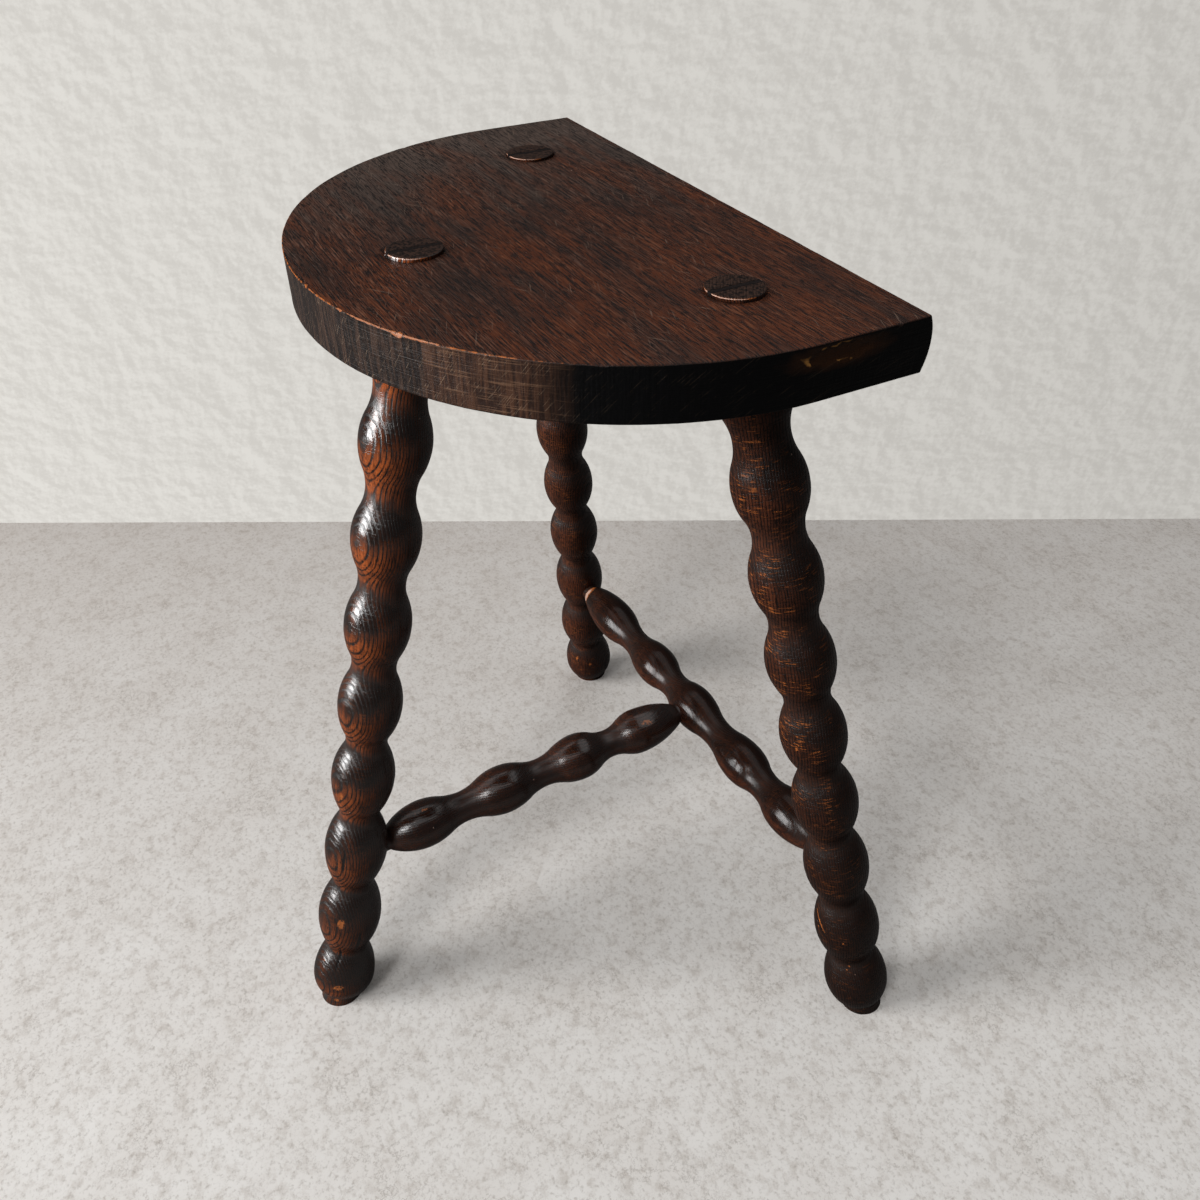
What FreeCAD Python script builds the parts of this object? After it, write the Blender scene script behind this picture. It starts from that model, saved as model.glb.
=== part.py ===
import FreeCAD, Part
import math
import os
from collections import namedtuple

import Sketcher

# Bobbin stool: a half-moon plank seat on three splayed legs turned as strings of bobbins.
# A turned cross stretcher joins the two back legs and a medial one ties it to the front leg.
# The legs run through the seat and are wedged from above.
# Frame: +X along the straight edge towards the right leg, +Y from the round front towards
# the straight edge, +Z up. The origin is on the floor, under the middle of the stool.

V = FreeCAD.Vector

SIZES = (
    ("seat_height", 460.0, "floor to the sitting face"),
    ("seat_width", 302.0, "length of the straight edge"),
    ("seat_thickness", 23.4, "thickness of the plank"),
    ("side_length", 49.7, "short side, from the crown of the straight edge to the round one"),
    ("edge_bulge", 2.8, "how far the rounded straight edge stands out at half thickness"),
    ("rim_round", 1.0, "worn arris along the round edge"),
    ("edge_back", 113.9, "origin to the crown of the straight edge"),
    ("back_top_x", 97.2, "back leg centre at the seat top, from the middle plane"),
    ("back_out_x", 79.1, "sideways run of a back leg from the seat top to the floor"),
    ("left_inset", 51.1, "left leg centre at the seat top, from the straight edge"),
    ("left_out_y", 71.9, "backward run of the left leg"),
    ("right_inset", 54.1, "right leg centre at the seat top, from the straight edge"),
    ("right_out_y", 85.8, "backward run of the right leg"),
    ("front_inset", 50.6, "front leg centre at the seat top, from the round edge"),
    ("front_out_y", 109.7, "forward run of the front leg"),
    ("front_out_x", 14.0, "rightward run of the front leg"),
    ("bobbin_radius", 17.5, "crown radius of the upper bobbins"),
    ("neck_radius", 12.2, "radius of the necks between bobbins"),
    ("left_top_crown", 18.0, "highest crown of the left leg below the seat, along the leg"),
    ("right_top_crown", 15.5, "highest crown of the right leg below the seat"),
    ("front_top_crown", 12.5, "highest crown of the front leg below the seat"),
    ("left_foot_crown", 22.9, "lowest crown of the left leg above the floor, along the leg"),
    ("right_foot_crown", 25.6, "lowest crown of the right leg above the floor"),
    ("front_foot_crown", 19.4, "lowest crown of the front leg above the floor"),
    ("foot_radius", 12.8, "radius of the foot collar"),
    ("foot_neck_radius", 12.2, "radius where the lowest bobbin meets the foot collar"),
    ("foot_collar", 4.4, "height of the foot collar"),
    ("tenon_radius", 11.9, "leg tenon through the seat"),
    ("tenon_proud", 1.6, "how far the leg tenon stands out of the seat"),
    ("tenon_root", 8.0, "how deep the tenon starts inside the highest bobbin"),
    ("kerf_depth", 17.0, "saw kerf of the wedge below the seat top"),
    ("wedge_top", 2.6, "wedge thickness at the tenon's end"),
    ("wedge_tip", 0.8, "wedge thickness at the bottom of the kerf"),
    ("left_rail_height", 122.3, "cross stretcher's axis on the left leg"),
    ("right_rail_height", 124.4, "cross stretcher's axis on the right leg"),
    ("front_rail_height", 118.6, "medial stretcher's axis on the front leg"),
    ("rail_bobbin_radius", 14.4, "crown radius of the stretchers' bobbins"),
    ("rail_neck_radius", 9.5, "radius of the stretchers' necks"),
    ("rail_tenon_radius", 6.4, "round tenons at the stretchers' ends"),
    ("rail_shoulder_radius", 7.2, "shoulder round a stretcher's tenon"),
    ("rail_tenon_reach", 4.0, "how far a tenon goes past the axis of the leg"),
    ("tee_tenon_reach", 1.0, "how far the medial tenon goes past the cross stretcher's axis"),
    ("left_first_crown", 55.5, "left leg's axis to the first crown of the cross stretcher"),
    ("right_last_crown", 45.6, "right leg's axis to the last crown of the cross stretcher"),
    ("front_first_crown", 42.5, "front leg's axis to the first crown of the medial stretcher"),
    ("tee_last_crown", 43.4, "cross stretcher's axis to the last crown of the medial one"),
    ("left_shoulder_gap", 2.6, "bare tenon between the left leg and the shoulder"),
    ("shoulder_gap", 0.6, "other shoulders to the bobbin that they meet"),
    ("fit_clearance", 0.1, "glued and wedged fits, on the radius or the face"),
    ("overrun", 3.0, "how far a cut runs past what it cuts"),
)

# The turner spaced and sized by eye, so each run of bobbins has its own shares.
LEG_PITCH_SHARES = (1.03, 1.078, 1.038, 0.979, 0.979, 0.975, 0.966, 0.955)
LEG_CROWN_SHARES = (1.1, 1.085, 1.05, 1.02, 1.0, 1.0, 1.0, 1.0, 1.0)
LEG_NECK_SHARES = (1.02, 0.98, 0.95, 0.95, 0.98, 1.0, 1.01, 1.04, 1.04)
LEG_COVE_SHARES = (0.12, 0.15, 0.2, 0.26, 0.34, 0.4, 0.45, 0.48, 0.48)
LEFT_GIRTH_SHARE = 0.96
RIGHT_GIRTH_SHARE = 1.0
FRONT_GIRTH_SHARE = 0.985
CROSS_PITCH_SHARES = (1.105, 0.895, 1.108, 0.892)
CROSS_CROWN_SHARES = (0.97, 0.97, 0.98, 0.97, 0.96)
CROSS_NECK_SHARES = (0.97, 1.0, 1.02, 1.0)
CROSS_COVE_SHARES = (0.45, 0.45, 0.45, 0.45)
MEDIAL_PITCH_SHARES = (1.06, 1.05, 0.89)
MEDIAL_CROWN_SHARES = (1.01, 1.04, 1.03, 1.01)
MEDIAL_NECK_SHARES = (1.0, 0.98, 0.96)
MEDIAL_COVE_SHARES = (0.45, 0.45, 0.45)
RAIL_CROWN_INDEX = 2
TEE_CROWN_INDEX = 2

doc = FreeCAD.newDocument("BobbinStool")
sizes = doc.addObject("Spreadsheet::Sheet", "Sizes")
derived = doc.addObject("App::VarSet", "Derived")


def write_sizes():
    for row, (name, value, meaning) in enumerate(SIZES, 1):
        sizes.set(f"A{row}", meaning)
        sizes.set(f"B{row}", str(value))
        sizes.setAlias(f"B{row}", name)
    doc.recompute()


def number(expression):
    """The value of an expression in the sheet's names."""
    value = sizes.evalExpression(str(expression))
    return float(getattr(value, "Value", value))


def vector(point):
    return V(*[number(expression) for expression in point])


def derive(name, expression):
    """Keep a worked-out length under its own name."""
    derived.addProperty("App::PropertyFloat", name, "Lengths")
    derived.setExpression(name, expression)
    doc.recompute()
    return f"Derived.{name}"


def derive_point(name, point):
    return tuple(derive(f"{name}_{axis}", value) for axis, value in zip("xyz", point))


def distance(start, end):
    return "sqrt(" + " + ".join(f"({b} - {a})^2" for a, b in zip(start, end)) + ")"


def between(start, end, share):
    return tuple(f"({a} + ({b} - {a}) * {share})" for a, b in zip(start, end))


def check(condition, message):
    if not condition:
        raise RuntimeError(message)


# Bodies, sketches and cuts


def new_body(name, placement):
    body = doc.addObject("PartDesign::Body", name)
    body.Label = name
    body.Placement = placement
    return body


def new_sketch(body, name, role, offset=None):
    sketch = body.newObject("Sketcher::SketchObject", f"{body.Name}_{name}_sketch")
    plane = [item for item in body.Origin.OriginFeatures if item.Role == role][0]
    sketch.AttachmentSupport = (plane, "")
    sketch.MapMode = "FlatFace"
    if offset is not None:
        sketch.AttachmentOffset = offset
    return sketch


def pin_point(sketch, curve, end, x, y):
    """Hold one end of a curve at the place that two expressions give."""
    for kind, axis, expression in (("DistanceX", -2, x), ("DistanceY", -1, y)):
        if expression == "0":
            sketch.addConstraint(Sketcher.Constraint("PointOnObject", curve, end, axis))
        else:
            size = Sketcher.Constraint(kind, -1, 1, curve, end, number(expression))
            index = sketch.addConstraint(size)
            sketch.setExpression(f"Constraints[{index}]", expression)


def draw_circle(sketch, radius):
    curve = sketch.addGeometry(Part.Circle(V(), V(0, 0, 1), number(radius)), False)
    sketch.addConstraint(Sketcher.Constraint("Coincident", curve, 3, -1, 1))
    index = sketch.addConstraint(Sketcher.Constraint("Radius", curve, number(radius)))
    sketch.setExpression(f"Constraints[{index}]", radius)


def arc_between(centre, start, end):
    """The shorter arc, drawn anticlockwise, with the sketch ends that lie at start and end."""
    angles = [math.atan2(point.y - centre.y, point.x - centre.x) for point in (start, end)]
    ends = (1, 2)
    if (angles[1] - angles[0]) % math.tau > math.pi:
        angles.reverse()
        ends = (2, 1)
    if angles[1] < angles[0]:
        angles[1] += math.tau
    circle = Part.Circle(centre, V(0, 0, 1), (start - centre).Length)
    return Part.ArcOfCircle(circle, angles[0], angles[1]), ends


class Outline:
    """A closed outline drawn from point to point, each point given by two expressions."""

    def __init__(self, sketch, x, y):
        self.sketch = sketch
        self.x = x
        self.y = y
        self.reached = None
        self.first = None

    def constrain(self, *values):
        return self.sketch.addConstraint(Sketcher.Constraint(*values))

    def here(self):
        return V(number(self.x), number(self.y), 0)

    def join(self, curve, end):
        if self.reached is None:
            pin_point(self.sketch, curve, end, self.x, self.y)
            self.first = (curve, end)
        else:
            self.constrain("Coincident", *self.reached, curve, end)

    def arrive(self, curve, end, x, y):
        pin_point(self.sketch, curve, end, x, y)
        self.reached = (curve, end)
        self.x = x
        self.y = y

    def line_to(self, x, y):
        there = V(number(x), number(y), 0)
        curve = self.sketch.addGeometry(Part.LineSegment(self.here(), there), False)
        self.join(curve, 1)
        self.arrive(curve, 2, x, y)

    def close(self):
        start = self.sketch.Geometry[self.first[0]].StartPoint
        curve = self.sketch.addGeometry(Part.LineSegment(self.here(), start), False)
        self.constrain("Coincident", *self.reached, curve, 1)
        self.constrain("Coincident", *self.first, curve, 2)

    def level_arc_to(self, x, y, level_end):
        """An arc that runs along the axis at its start (1) or at its end (2)."""
        start = self.here()
        end = V(number(x), number(y), 0)
        level, other = (start, end) if level_end == 1 else (end, start)
        along = other.y - level.y
        drop = level.x - other.x
        centre = V(level.x - (along ** 2 + drop ** 2) / (2 * drop), level.y, 0)
        arc, ends = arc_between(centre, start, end)
        curve = self.sketch.addGeometry(arc, False)
        self.join(curve, ends[0])
        self.constrain("Horizontal", curve, 3, curve, ends[level_end - 1])
        self.arrive(curve, ends[1], x, y)

    def sway_to(self, x, y, cove_share):
        """A crown arc and a cove arc that meet smoothly and run along the axis at both ends."""
        start = self.here()
        end = V(number(x), number(y), 0)
        reach = f"((({y}) - ({self.y}))^2 + (({x}) - ({self.x}))^2)"
        both = f"{reach} / (2 * abs(({x}) - ({self.x})))"
        cove_radius = f"{cove_share} * {both}"
        cove = number(cove_radius)
        crown = number(both) - cove
        to_neck = start.x > end.x
        radii = (crown, cove) if to_neck else (cove, crown)
        side = -1 if to_neck else 1
        centres = (V(start.x + side * radii[0], start.y, 0), V(end.x - side * radii[1], end.y, 0))
        meet = centres[0] + (centres[1] - centres[0]) * (radii[0] / (radii[0] + radii[1]))
        first_arc, first_ends = arc_between(centres[0], start, meet)
        second_arc, second_ends = arc_between(centres[1], meet, end)
        first = self.sketch.addGeometry(first_arc, False)
        second = self.sketch.addGeometry(second_arc, False)
        self.join(first, first_ends[0])
        self.constrain("Horizontal", first, 3, first, first_ends[0])
        self.constrain("Tangent", first, first_ends[1], second, second_ends[0])
        self.constrain("Horizontal", second, 3, second, second_ends[1])
        cove_curve = second if to_neck else first
        index = self.constrain("Radius", cove_curve, cove)
        self.sketch.setExpression(f"Constraints[{index}]", cove_radius)
        self.arrive(second, second_ends[1], x, y)


def draw_polygon(sketch, corners):
    outline = Outline(sketch, *corners[0])
    for corner in corners[1:]:
        outline.line_to(*corner)
    outline.close()


def revolve(body, sketch):
    feature = body.newObject("PartDesign::Revolution", f"{body.Name}_turned")
    feature.Profile = sketch
    feature.ReferenceAxis = (sketch, ["V_Axis"])
    feature.Angle = 360
    doc.recompute()


def pad(body, sketch, name, length, symmetric=False, reverse=False):
    feature = body.newObject("PartDesign::Pad", f"{body.Name}_{name}")
    feature.Profile = sketch
    feature.SideType = "Symmetric" if symmetric else "One side"
    feature.Reversed = reverse
    feature.setExpression("Length", length)
    doc.recompute()


def pocket(body, sketch, name, length, symmetric=True):
    """Cut a pocket and check that it took some wood away."""
    before = body.Shape.Volume
    feature = body.newObject("PartDesign::Pocket", f"{body.Name}_{name}")
    feature.Profile = sketch
    feature.SideType = "Symmetric" if symmetric else "One side"
    feature.setExpression("Length", length)
    doc.recompute()
    check(body.Shape.Volume < before, f"{body.Name}: {name} cut nothing")


def facing(body, point, direction):
    """Sketch offset at a point of the stool's frame, with its normal along a direction."""
    world = FreeCAD.Placement(point, FreeCAD.Rotation(V(0, 0, 1), direction))
    return body.Placement.inverse() * world


def bore_mortise(body, name, axis_point, direction, reach, mouth):
    """A blind round mortise that opens along a direction, its bottom past the axis."""
    depth = f"({reach} + Sizes.fit_clearance)"
    bottom = axis_point - direction * number(depth)
    sketch = new_sketch(body, name, "XY_Plane", facing(body, bottom, -direction))
    draw_circle(sketch, "Sizes.rail_tenon_radius + Sizes.fit_clearance")
    pocket(body, sketch, name, f"{depth} + {mouth}", symmetric=False)


def crowns_and_necks(first, pitch, pitch_shares):
    """Stations of the crowns along an axis, and of the necks half way between them."""
    crowns = [first]
    for share in pitch_shares:
        crowns.append(f"({crowns[-1]} + {pitch} * {share})")
    necks = [f"(({a} + {b}) / 2)" for a, b in zip(crowns, crowns[1:])]
    return crowns, necks


# Where the legs and stretchers run

Leg = namedtuple("Leg", "side top floor axis stretch lean underside crowns necks girth")


def leg_line(side, top_x, top_y, out_x, out_y, girth):
    """A leg's axis from the seat top to the floor, its lean, and its bobbins' stations."""
    top = derive_point(f"{side}_top", (top_x, top_y, "Sizes.seat_height"))
    floor = derive_point(f"{side}_floor", (f"{top_x} + {out_x}", f"{top_y} + {out_y}", "0"))
    run = f"sqrt(({out_x})^2 + ({out_y})^2)"
    axis = derive(f"{side}_axis", distance(floor, top))
    stretch = derive(f"{side}_stretch", f"{axis} / Sizes.seat_height")
    lean = derive(f"{side}_lean", f"{run} / Sizes.seat_height")
    underside = derive(f"{side}_underside", f"(Sizes.seat_height - Sizes.seat_thickness) * {stretch}")
    span = f"({underside} - Sizes.{side}_top_crown - Sizes.{side}_foot_crown)"
    pitch = derive(f"{side}_pitch", f"{span} / {sum(LEG_PITCH_SHARES)}")
    crowns, necks = crowns_and_necks(f"Sizes.{side}_foot_crown", pitch, LEG_PITCH_SHARES)
    necks.append(f"({crowns[-1]} + {pitch} * {LEG_PITCH_SHARES[-1]} / 2)")
    return Leg(side, top, floor, axis, stretch, lean, underside, crowns, necks, girth)


def leg_lines():
    back = "(Sizes.edge_back - Sizes.{}_inset)"
    front = "(Sizes.edge_back - Sizes.side_length - Sizes.seat_width / 2 + Sizes.front_inset)"
    return (
        leg_line("left", "-Sizes.back_top_x", back.format("left"),
                 "-Sizes.back_out_x", "Sizes.left_out_y", LEFT_GIRTH_SHARE),
        leg_line("right", "Sizes.back_top_x", back.format("right"),
                 "Sizes.back_out_x", "Sizes.right_out_y", RIGHT_GIRTH_SHARE),
        leg_line("front", "0", front,
                 "Sizes.front_out_x", "-Sizes.front_out_y", FRONT_GIRTH_SHARE),
    )


def rail_point(leg):
    share = f"(Sizes.{leg.side}_rail_height / Sizes.seat_height)"
    return derive_point(f"{leg.side}_rail", between(leg.floor, leg.top, share))


Rail = namedtuple("Rail", "name start end length crowns necks crown_shares neck_shares "
                          "cove_shares start_shoulder end_shoulder end_reach")


def rail_line(name, start, end, first, last, pitch_shares, *rest):
    length = derive(f"{name}_length", distance(start, end))
    pitch = derive(f"{name}_pitch", f"({length} - {first} - {last}) / {sum(pitch_shares)}")
    crowns, necks = crowns_and_necks(first, pitch, pitch_shares)
    return Rail(name, start, end, length, crowns, necks, *rest)


def shoulder_at(leg, gap):
    """From a leg's axis to a shoulder that clears its bobbin, which leans towards it."""
    bobbin = f"Sizes.bobbin_radius * {LEG_CROWN_SHARES[RAIL_CROWN_INDEX]} * {leg.girth}"
    return f"{bobbin} + Sizes.rail_shoulder_radius * {leg.lean} + {gap}"


def rail_lines(left, right, front):
    left_shoulder = shoulder_at(left, "Sizes.left_shoulder_gap")
    right_shoulder = shoulder_at(right, "Sizes.shoulder_gap")
    front_shoulder = shoulder_at(front, "Sizes.shoulder_gap")
    tee_bobbin = f"Sizes.rail_bobbin_radius * {CROSS_CROWN_SHARES[TEE_CROWN_INDEX]}"
    tee_shoulder = f"{tee_bobbin} + Sizes.shoulder_gap"
    cross = rail_line("cross", rail_point(left), rail_point(right),
                      "Sizes.left_first_crown", "Sizes.right_last_crown", CROSS_PITCH_SHARES,
                      CROSS_CROWN_SHARES, CROSS_NECK_SHARES, CROSS_COVE_SHARES,
                      left_shoulder, right_shoulder, "Sizes.rail_tenon_reach")
    share = derive("tee_share", f"{cross.crowns[TEE_CROWN_INDEX]} / {cross.length}")
    tee = derive_point("tee", between(cross.start, cross.end, share))
    medial = rail_line("medial", rail_point(front), tee,
                       "Sizes.front_first_crown", "Sizes.tee_last_crown", MEDIAL_PITCH_SHARES,
                       MEDIAL_CROWN_SHARES, MEDIAL_NECK_SHARES, MEDIAL_COVE_SHARES,
                       front_shoulder, tee_shoulder, "Sizes.tee_tenon_reach")
    return cross, medial


# The seat


def build_seat(legs):
    edge_top = V(0, number("Sizes.edge_back"), number("Sizes.seat_height"))
    body = new_body("seat", FreeCAD.Placement(edge_top, FreeCAD.Rotation()))
    draw_seat_outline(new_sketch(body, "outline", "XY_Plane"))
    pad(body, doc.getObject("seat_outline_sketch"), "plank", "Sizes.seat_thickness", reverse=True)
    round_rim(body)
    draw_edge_waste(new_sketch(body, "edge", "YZ_Plane"))
    pocket(body, doc.getObject("seat_edge_sketch"), "edge", "2 * Sizes.seat_width")
    for leg in legs:
        top = vector(leg.top)
        offset = facing(body, top, top - vector(leg.floor))
        hole = new_sketch(body, f"{leg.side}_mortise", "XY_Plane", offset)
        draw_circle(hole, "Sizes.tenon_radius + Sizes.fit_clearance")
        pocket(body, hole, f"{leg.side}_mortise", "4 * Sizes.seat_thickness")
    return body


def draw_seat_outline(sketch):
    """Half-moon plank, left a little long behind the straight edge."""
    half = "Sizes.seat_width / 2"
    side_end = "-Sizes.side_length"
    outline = Outline(sketch, half, side_end)
    outline.line_to(half, "Sizes.overrun")
    outline.line_to(f"-{half}", "Sizes.overrun")
    outline.line_to(f"-{half}", side_end)
    circle = Part.Circle(V(0, number(side_end), 0), V(0, 0, 1), number(half))
    curve = sketch.addGeometry(Part.ArcOfCircle(circle, math.pi, math.tau), False)
    outline.join(curve, 1)
    outline.constrain("Coincident", *outline.first, curve, 2)
    outline.constrain("Horizontal", curve, 3, curve, 1)


def round_rim(body):
    """Ease the arrises of the round edge and of the two short sides."""
    plank = body.Tip
    names = []
    for index, edge in enumerate(plank.Shape.Edges, 1):
        box = edge.BoundBox
        if box.ZLength < number("Sizes.fit_clearance") and box.YMin < 0:
            names.append(f"Edge{index}")
    feature = body.newObject("PartDesign::Fillet", "seat_rim")
    feature.Base = (plank, names)
    feature.setExpression("Radius", "Sizes.rim_round")
    doc.recompute()


def draw_edge_waste(sketch):
    """What is planed away behind the straight edge, leaving it rounded."""
    thick = "Sizes.seat_thickness"
    bulge = "Sizes.edge_bulge"
    beyond = "2 * Sizes.overrun"
    outline = Outline(sketch, f"-{bulge}", "0")
    outline.line_to(f"-{bulge}", "Sizes.overrun")
    outline.line_to(beyond, "Sizes.overrun")
    outline.line_to(beyond, f"-({thick} + Sizes.overrun)")
    outline.line_to(f"-{bulge}", f"-({thick} + Sizes.overrun)")
    outline.line_to(f"-{bulge}", f"-{thick}")
    radius = f"(({thick} / 2)^2 + {bulge}^2) / (2 * {bulge})"
    size = number(radius)
    centre = V(-size, -number(thick) / 2, 0)
    arc, ends = arc_between(centre, outline.here(), V(-number(bulge), 0, 0))
    curve = sketch.addGeometry(arc, False)
    outline.join(curve, ends[0])
    outline.constrain("Coincident", *outline.first, curve, ends[1])
    index = outline.constrain("Radius", curve, size)
    sketch.setExpression(f"Constraints[{index}]", radius)


# The legs and their wedges


def leg_placement(leg):
    """Local z up the leg's axis, local x in the upright plane through it."""
    foot = vector(leg.floor)
    up = (vector(leg.top) - foot).normalize()
    level = V(0, 0, 1).cross(up).normalize()
    return FreeCAD.Placement(foot, FreeCAD.Rotation(level.cross(up), level, up, "ZXY"))


def cut_level(body, leg, name, height, above):
    """Cut away the wood above or below a level plane of the stool's frame."""
    reach = "(2 * Sizes.bobbin_radius)"
    far = f"({leg.axis} + {reach})" if above else f"(-{reach})"
    middle = f"({height}) * {leg.stretch}"
    sketch = new_sketch(body, name, "XZ_Plane")
    draw_polygon(sketch, (
        (f"-{reach}", f"{middle} - {reach} * {leg.lean}"),
        (reach, f"{middle} + {reach} * {leg.lean}"),
        (reach, far),
        (f"-{reach}", far),
    ))
    pocket(body, sketch, name, f"2 * {reach}")


def draw_leg_profile(sketch, leg):
    """Half section of a leg: foot collar, nine bobbins, and stock for the shoulder above."""
    crown_radii = [f"Sizes.bobbin_radius * {share} * {leg.girth}" for share in LEG_CROWN_SHARES]
    neck_radii = [f"Sizes.neck_radius * {share} * {leg.girth}" for share in LEG_NECK_SHARES]
    outline = Outline(sketch, "0", "-Sizes.foot_radius")
    outline.line_to("Sizes.foot_radius", "-Sizes.foot_radius")
    outline.line_to("Sizes.foot_radius", "Sizes.foot_collar")
    outline.line_to("Sizes.foot_neck_radius", "Sizes.foot_collar")
    outline.level_arc_to(crown_radii[0], leg.crowns[0], level_end=2)
    outline.sway_to(neck_radii[0], leg.necks[0], LEG_COVE_SHARES[0])
    for index in range(1, len(leg.crowns)):
        outline.sway_to(crown_radii[index], leg.crowns[index], LEG_COVE_SHARES[index - 1])
        outline.sway_to(neck_radii[index], leg.necks[index], LEG_COVE_SHARES[index])
    outline.line_to("0", leg.necks[-1])
    outline.close()


def wedge_turn(body):
    """Sketch offset that turns a sketch about the leg until it looks along the wedge.

    Each wedge lies across the seat's grain, so along Y in the stool's frame.
    """
    across = body.Placement.Rotation.inverted().multVec(V(0, 1, 0))
    angle = math.degrees(math.atan2(across.y, across.x)) - 90
    return FreeCAD.Placement(V(), FreeCAD.Rotation(V(0, 1, 0), angle))


def wedge_section(leg, clearance):
    """Tapered section of a wedge, or with a clearance that of its kerf."""
    tip = f"(Sizes.seat_height - Sizes.kerf_depth) * {leg.stretch}"
    head = f"((Sizes.seat_height + Sizes.tenon_proud) * {leg.stretch} + Sizes.tenon_radius * {leg.lean})"
    half_top = f"(Sizes.wedge_top / 2 + {clearance})"
    half_tip = f"(Sizes.wedge_tip / 2 + {clearance})"
    return (
        (f"-{half_tip}", f"{tip} - {clearance}"),
        (half_tip, f"{tip} - {clearance}"),
        (half_top, head),
        (half_top, f"{head} + Sizes.overrun"),
        (f"-{half_top}", f"{head} + Sizes.overrun"),
        (f"-{half_top}", head),
    )


def build_leg(leg, rail_axis_point, rail_direction):
    body = new_body(f"leg_{leg.side}", leg_placement(leg))
    profile = new_sketch(body, "profile", "XZ_Plane")
    draw_leg_profile(profile, leg)
    revolve(body, profile)
    cut_level(body, leg, "shoulder", "Sizes.seat_height - Sizes.seat_thickness", above=True)
    cut_level(body, leg, "foot", "0", above=False)
    root = f"({leg.underside} - Sizes.tenon_root)"
    tenon = new_sketch(body, "tenon", "XY_Plane")
    tenon.setExpression("AttachmentOffset.Base.z", root)
    draw_circle(tenon, "Sizes.tenon_radius")
    pad(body, tenon, "tenon", f"{leg.axis} + Sizes.tenon_radius - {root}")
    top = "Sizes.seat_height + Sizes.tenon_proud"
    cut_level(body, leg, "tenon_end", top, above=True)
    kerf = new_sketch(body, "kerf", "XZ_Plane", wedge_turn(body))
    draw_polygon(kerf, wedge_section(leg, "Sizes.fit_clearance"))
    pocket(body, kerf, "kerf", "4 * Sizes.tenon_radius")
    bore_mortise(body, "mortise", rail_axis_point, rail_direction,
                 "Sizes.rail_tenon_reach", "2 * Sizes.bobbin_radius")
    return body


def build_wedge(leg):
    body = new_body(f"wedge_{leg.side}", leg_placement(leg))
    section = new_sketch(body, "section", "XZ_Plane", wedge_turn(body))
    draw_polygon(section, wedge_section(leg, "0"))
    pad(body, section, "taper", "4 * Sizes.tenon_radius", symmetric=True)
    ring = new_sketch(body, "round", "XY_Plane")
    draw_circle(ring, "Sizes.tenon_radius")
    draw_circle(ring, "4 * Sizes.tenon_radius")
    pocket(body, ring, "round", f"4 * {leg.axis}")
    cut_level(body, leg, "end", "Sizes.seat_height + Sizes.tenon_proud", above=True)
    return body


# The stretchers


def build_rail(rail):
    start = vector(rail.start)
    direction = vector(rail.end) - start
    turn = FreeCAD.Rotation(V(0, 0, 1), direction)
    body = new_body(f"{rail.name}_stretcher", FreeCAD.Placement(start, turn))
    sketch = new_sketch(body, "profile", "XZ_Plane")
    tenon = "Sizes.rail_tenon_radius"
    shoulder = "Sizes.rail_shoulder_radius"
    end_shoulder = f"({rail.length} - ({rail.end_shoulder}))"
    end = f"({rail.length} + {rail.end_reach})"
    crown_radii = [f"Sizes.rail_bobbin_radius * {share}" for share in rail.crown_shares]
    neck_radii = [f"Sizes.rail_neck_radius * {share}" for share in rail.neck_shares]
    outline = Outline(sketch, "0", "-Sizes.rail_tenon_reach")
    outline.line_to(tenon, "-Sizes.rail_tenon_reach")
    outline.line_to(tenon, rail.start_shoulder)
    outline.line_to(shoulder, rail.start_shoulder)
    outline.level_arc_to(crown_radii[0], rail.crowns[0], level_end=2)
    for index, neck in enumerate(rail.necks):
        outline.sway_to(neck_radii[index], neck, rail.cove_shares[index])
        outline.sway_to(crown_radii[index + 1], rail.crowns[index + 1], rail.cove_shares[index])
    outline.level_arc_to(shoulder, end_shoulder, level_end=1)
    outline.line_to(tenon, end_shoulder)
    outline.line_to(tenon, end)
    outline.line_to("0", end)
    outline.close()
    revolve(body, sketch)
    return body


def build_stool():
    legs = leg_lines()
    left, right, front = legs
    cross, medial = rail_lines(*legs)
    along = (vector(cross.end) - vector(cross.start)).normalize()
    back = (vector(medial.end) - vector(medial.start)).normalize()
    bodies = [build_seat(legs)]
    bodies.append(build_leg(left, vector(cross.start), along))
    bodies.append(build_leg(right, vector(cross.end), -along))
    bodies.append(build_leg(front, vector(medial.start), back))
    bodies += [build_wedge(leg) for leg in legs]
    cross_body = build_rail(cross)
    bore_mortise(cross_body, "mortise", vector(medial.end), -back,
                 "Sizes.tee_tenon_reach", "2 * Sizes.rail_bobbin_radius")
    bodies += [cross_body, build_rail(medial)]
    return bodies


def check_document(bodies):
    for item in doc.Objects:
        failed = [state for state in item.State if state in ("Invalid", "Error")]
        check(not failed, f"{item.Name} failed: {item.State}")
    for body in bodies:
        shape = body.Shape
        check(not shape.isNull() and shape.isValid(), f"{body.Label} has no valid shape")
        check(len(shape.Solids) == 1, f"{body.Label} is {len(shape.Solids)} solids")


def export(bodies):
    os.makedirs("parts", exist_ok=True)
    for body in bodies:
        body.Shape.exportStep(f"parts/{body.Label}.step")
        print(f"{body.Label}: {body.Shape.Volume:.0f} mm3")


write_sizes()
stool = build_stool()
doc.recompute()
check_document(stool)
export(stool)
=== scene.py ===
"""Bobbin stool in dark stained oak: a half-moon plank seat on three turned and raked legs."""

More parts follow.
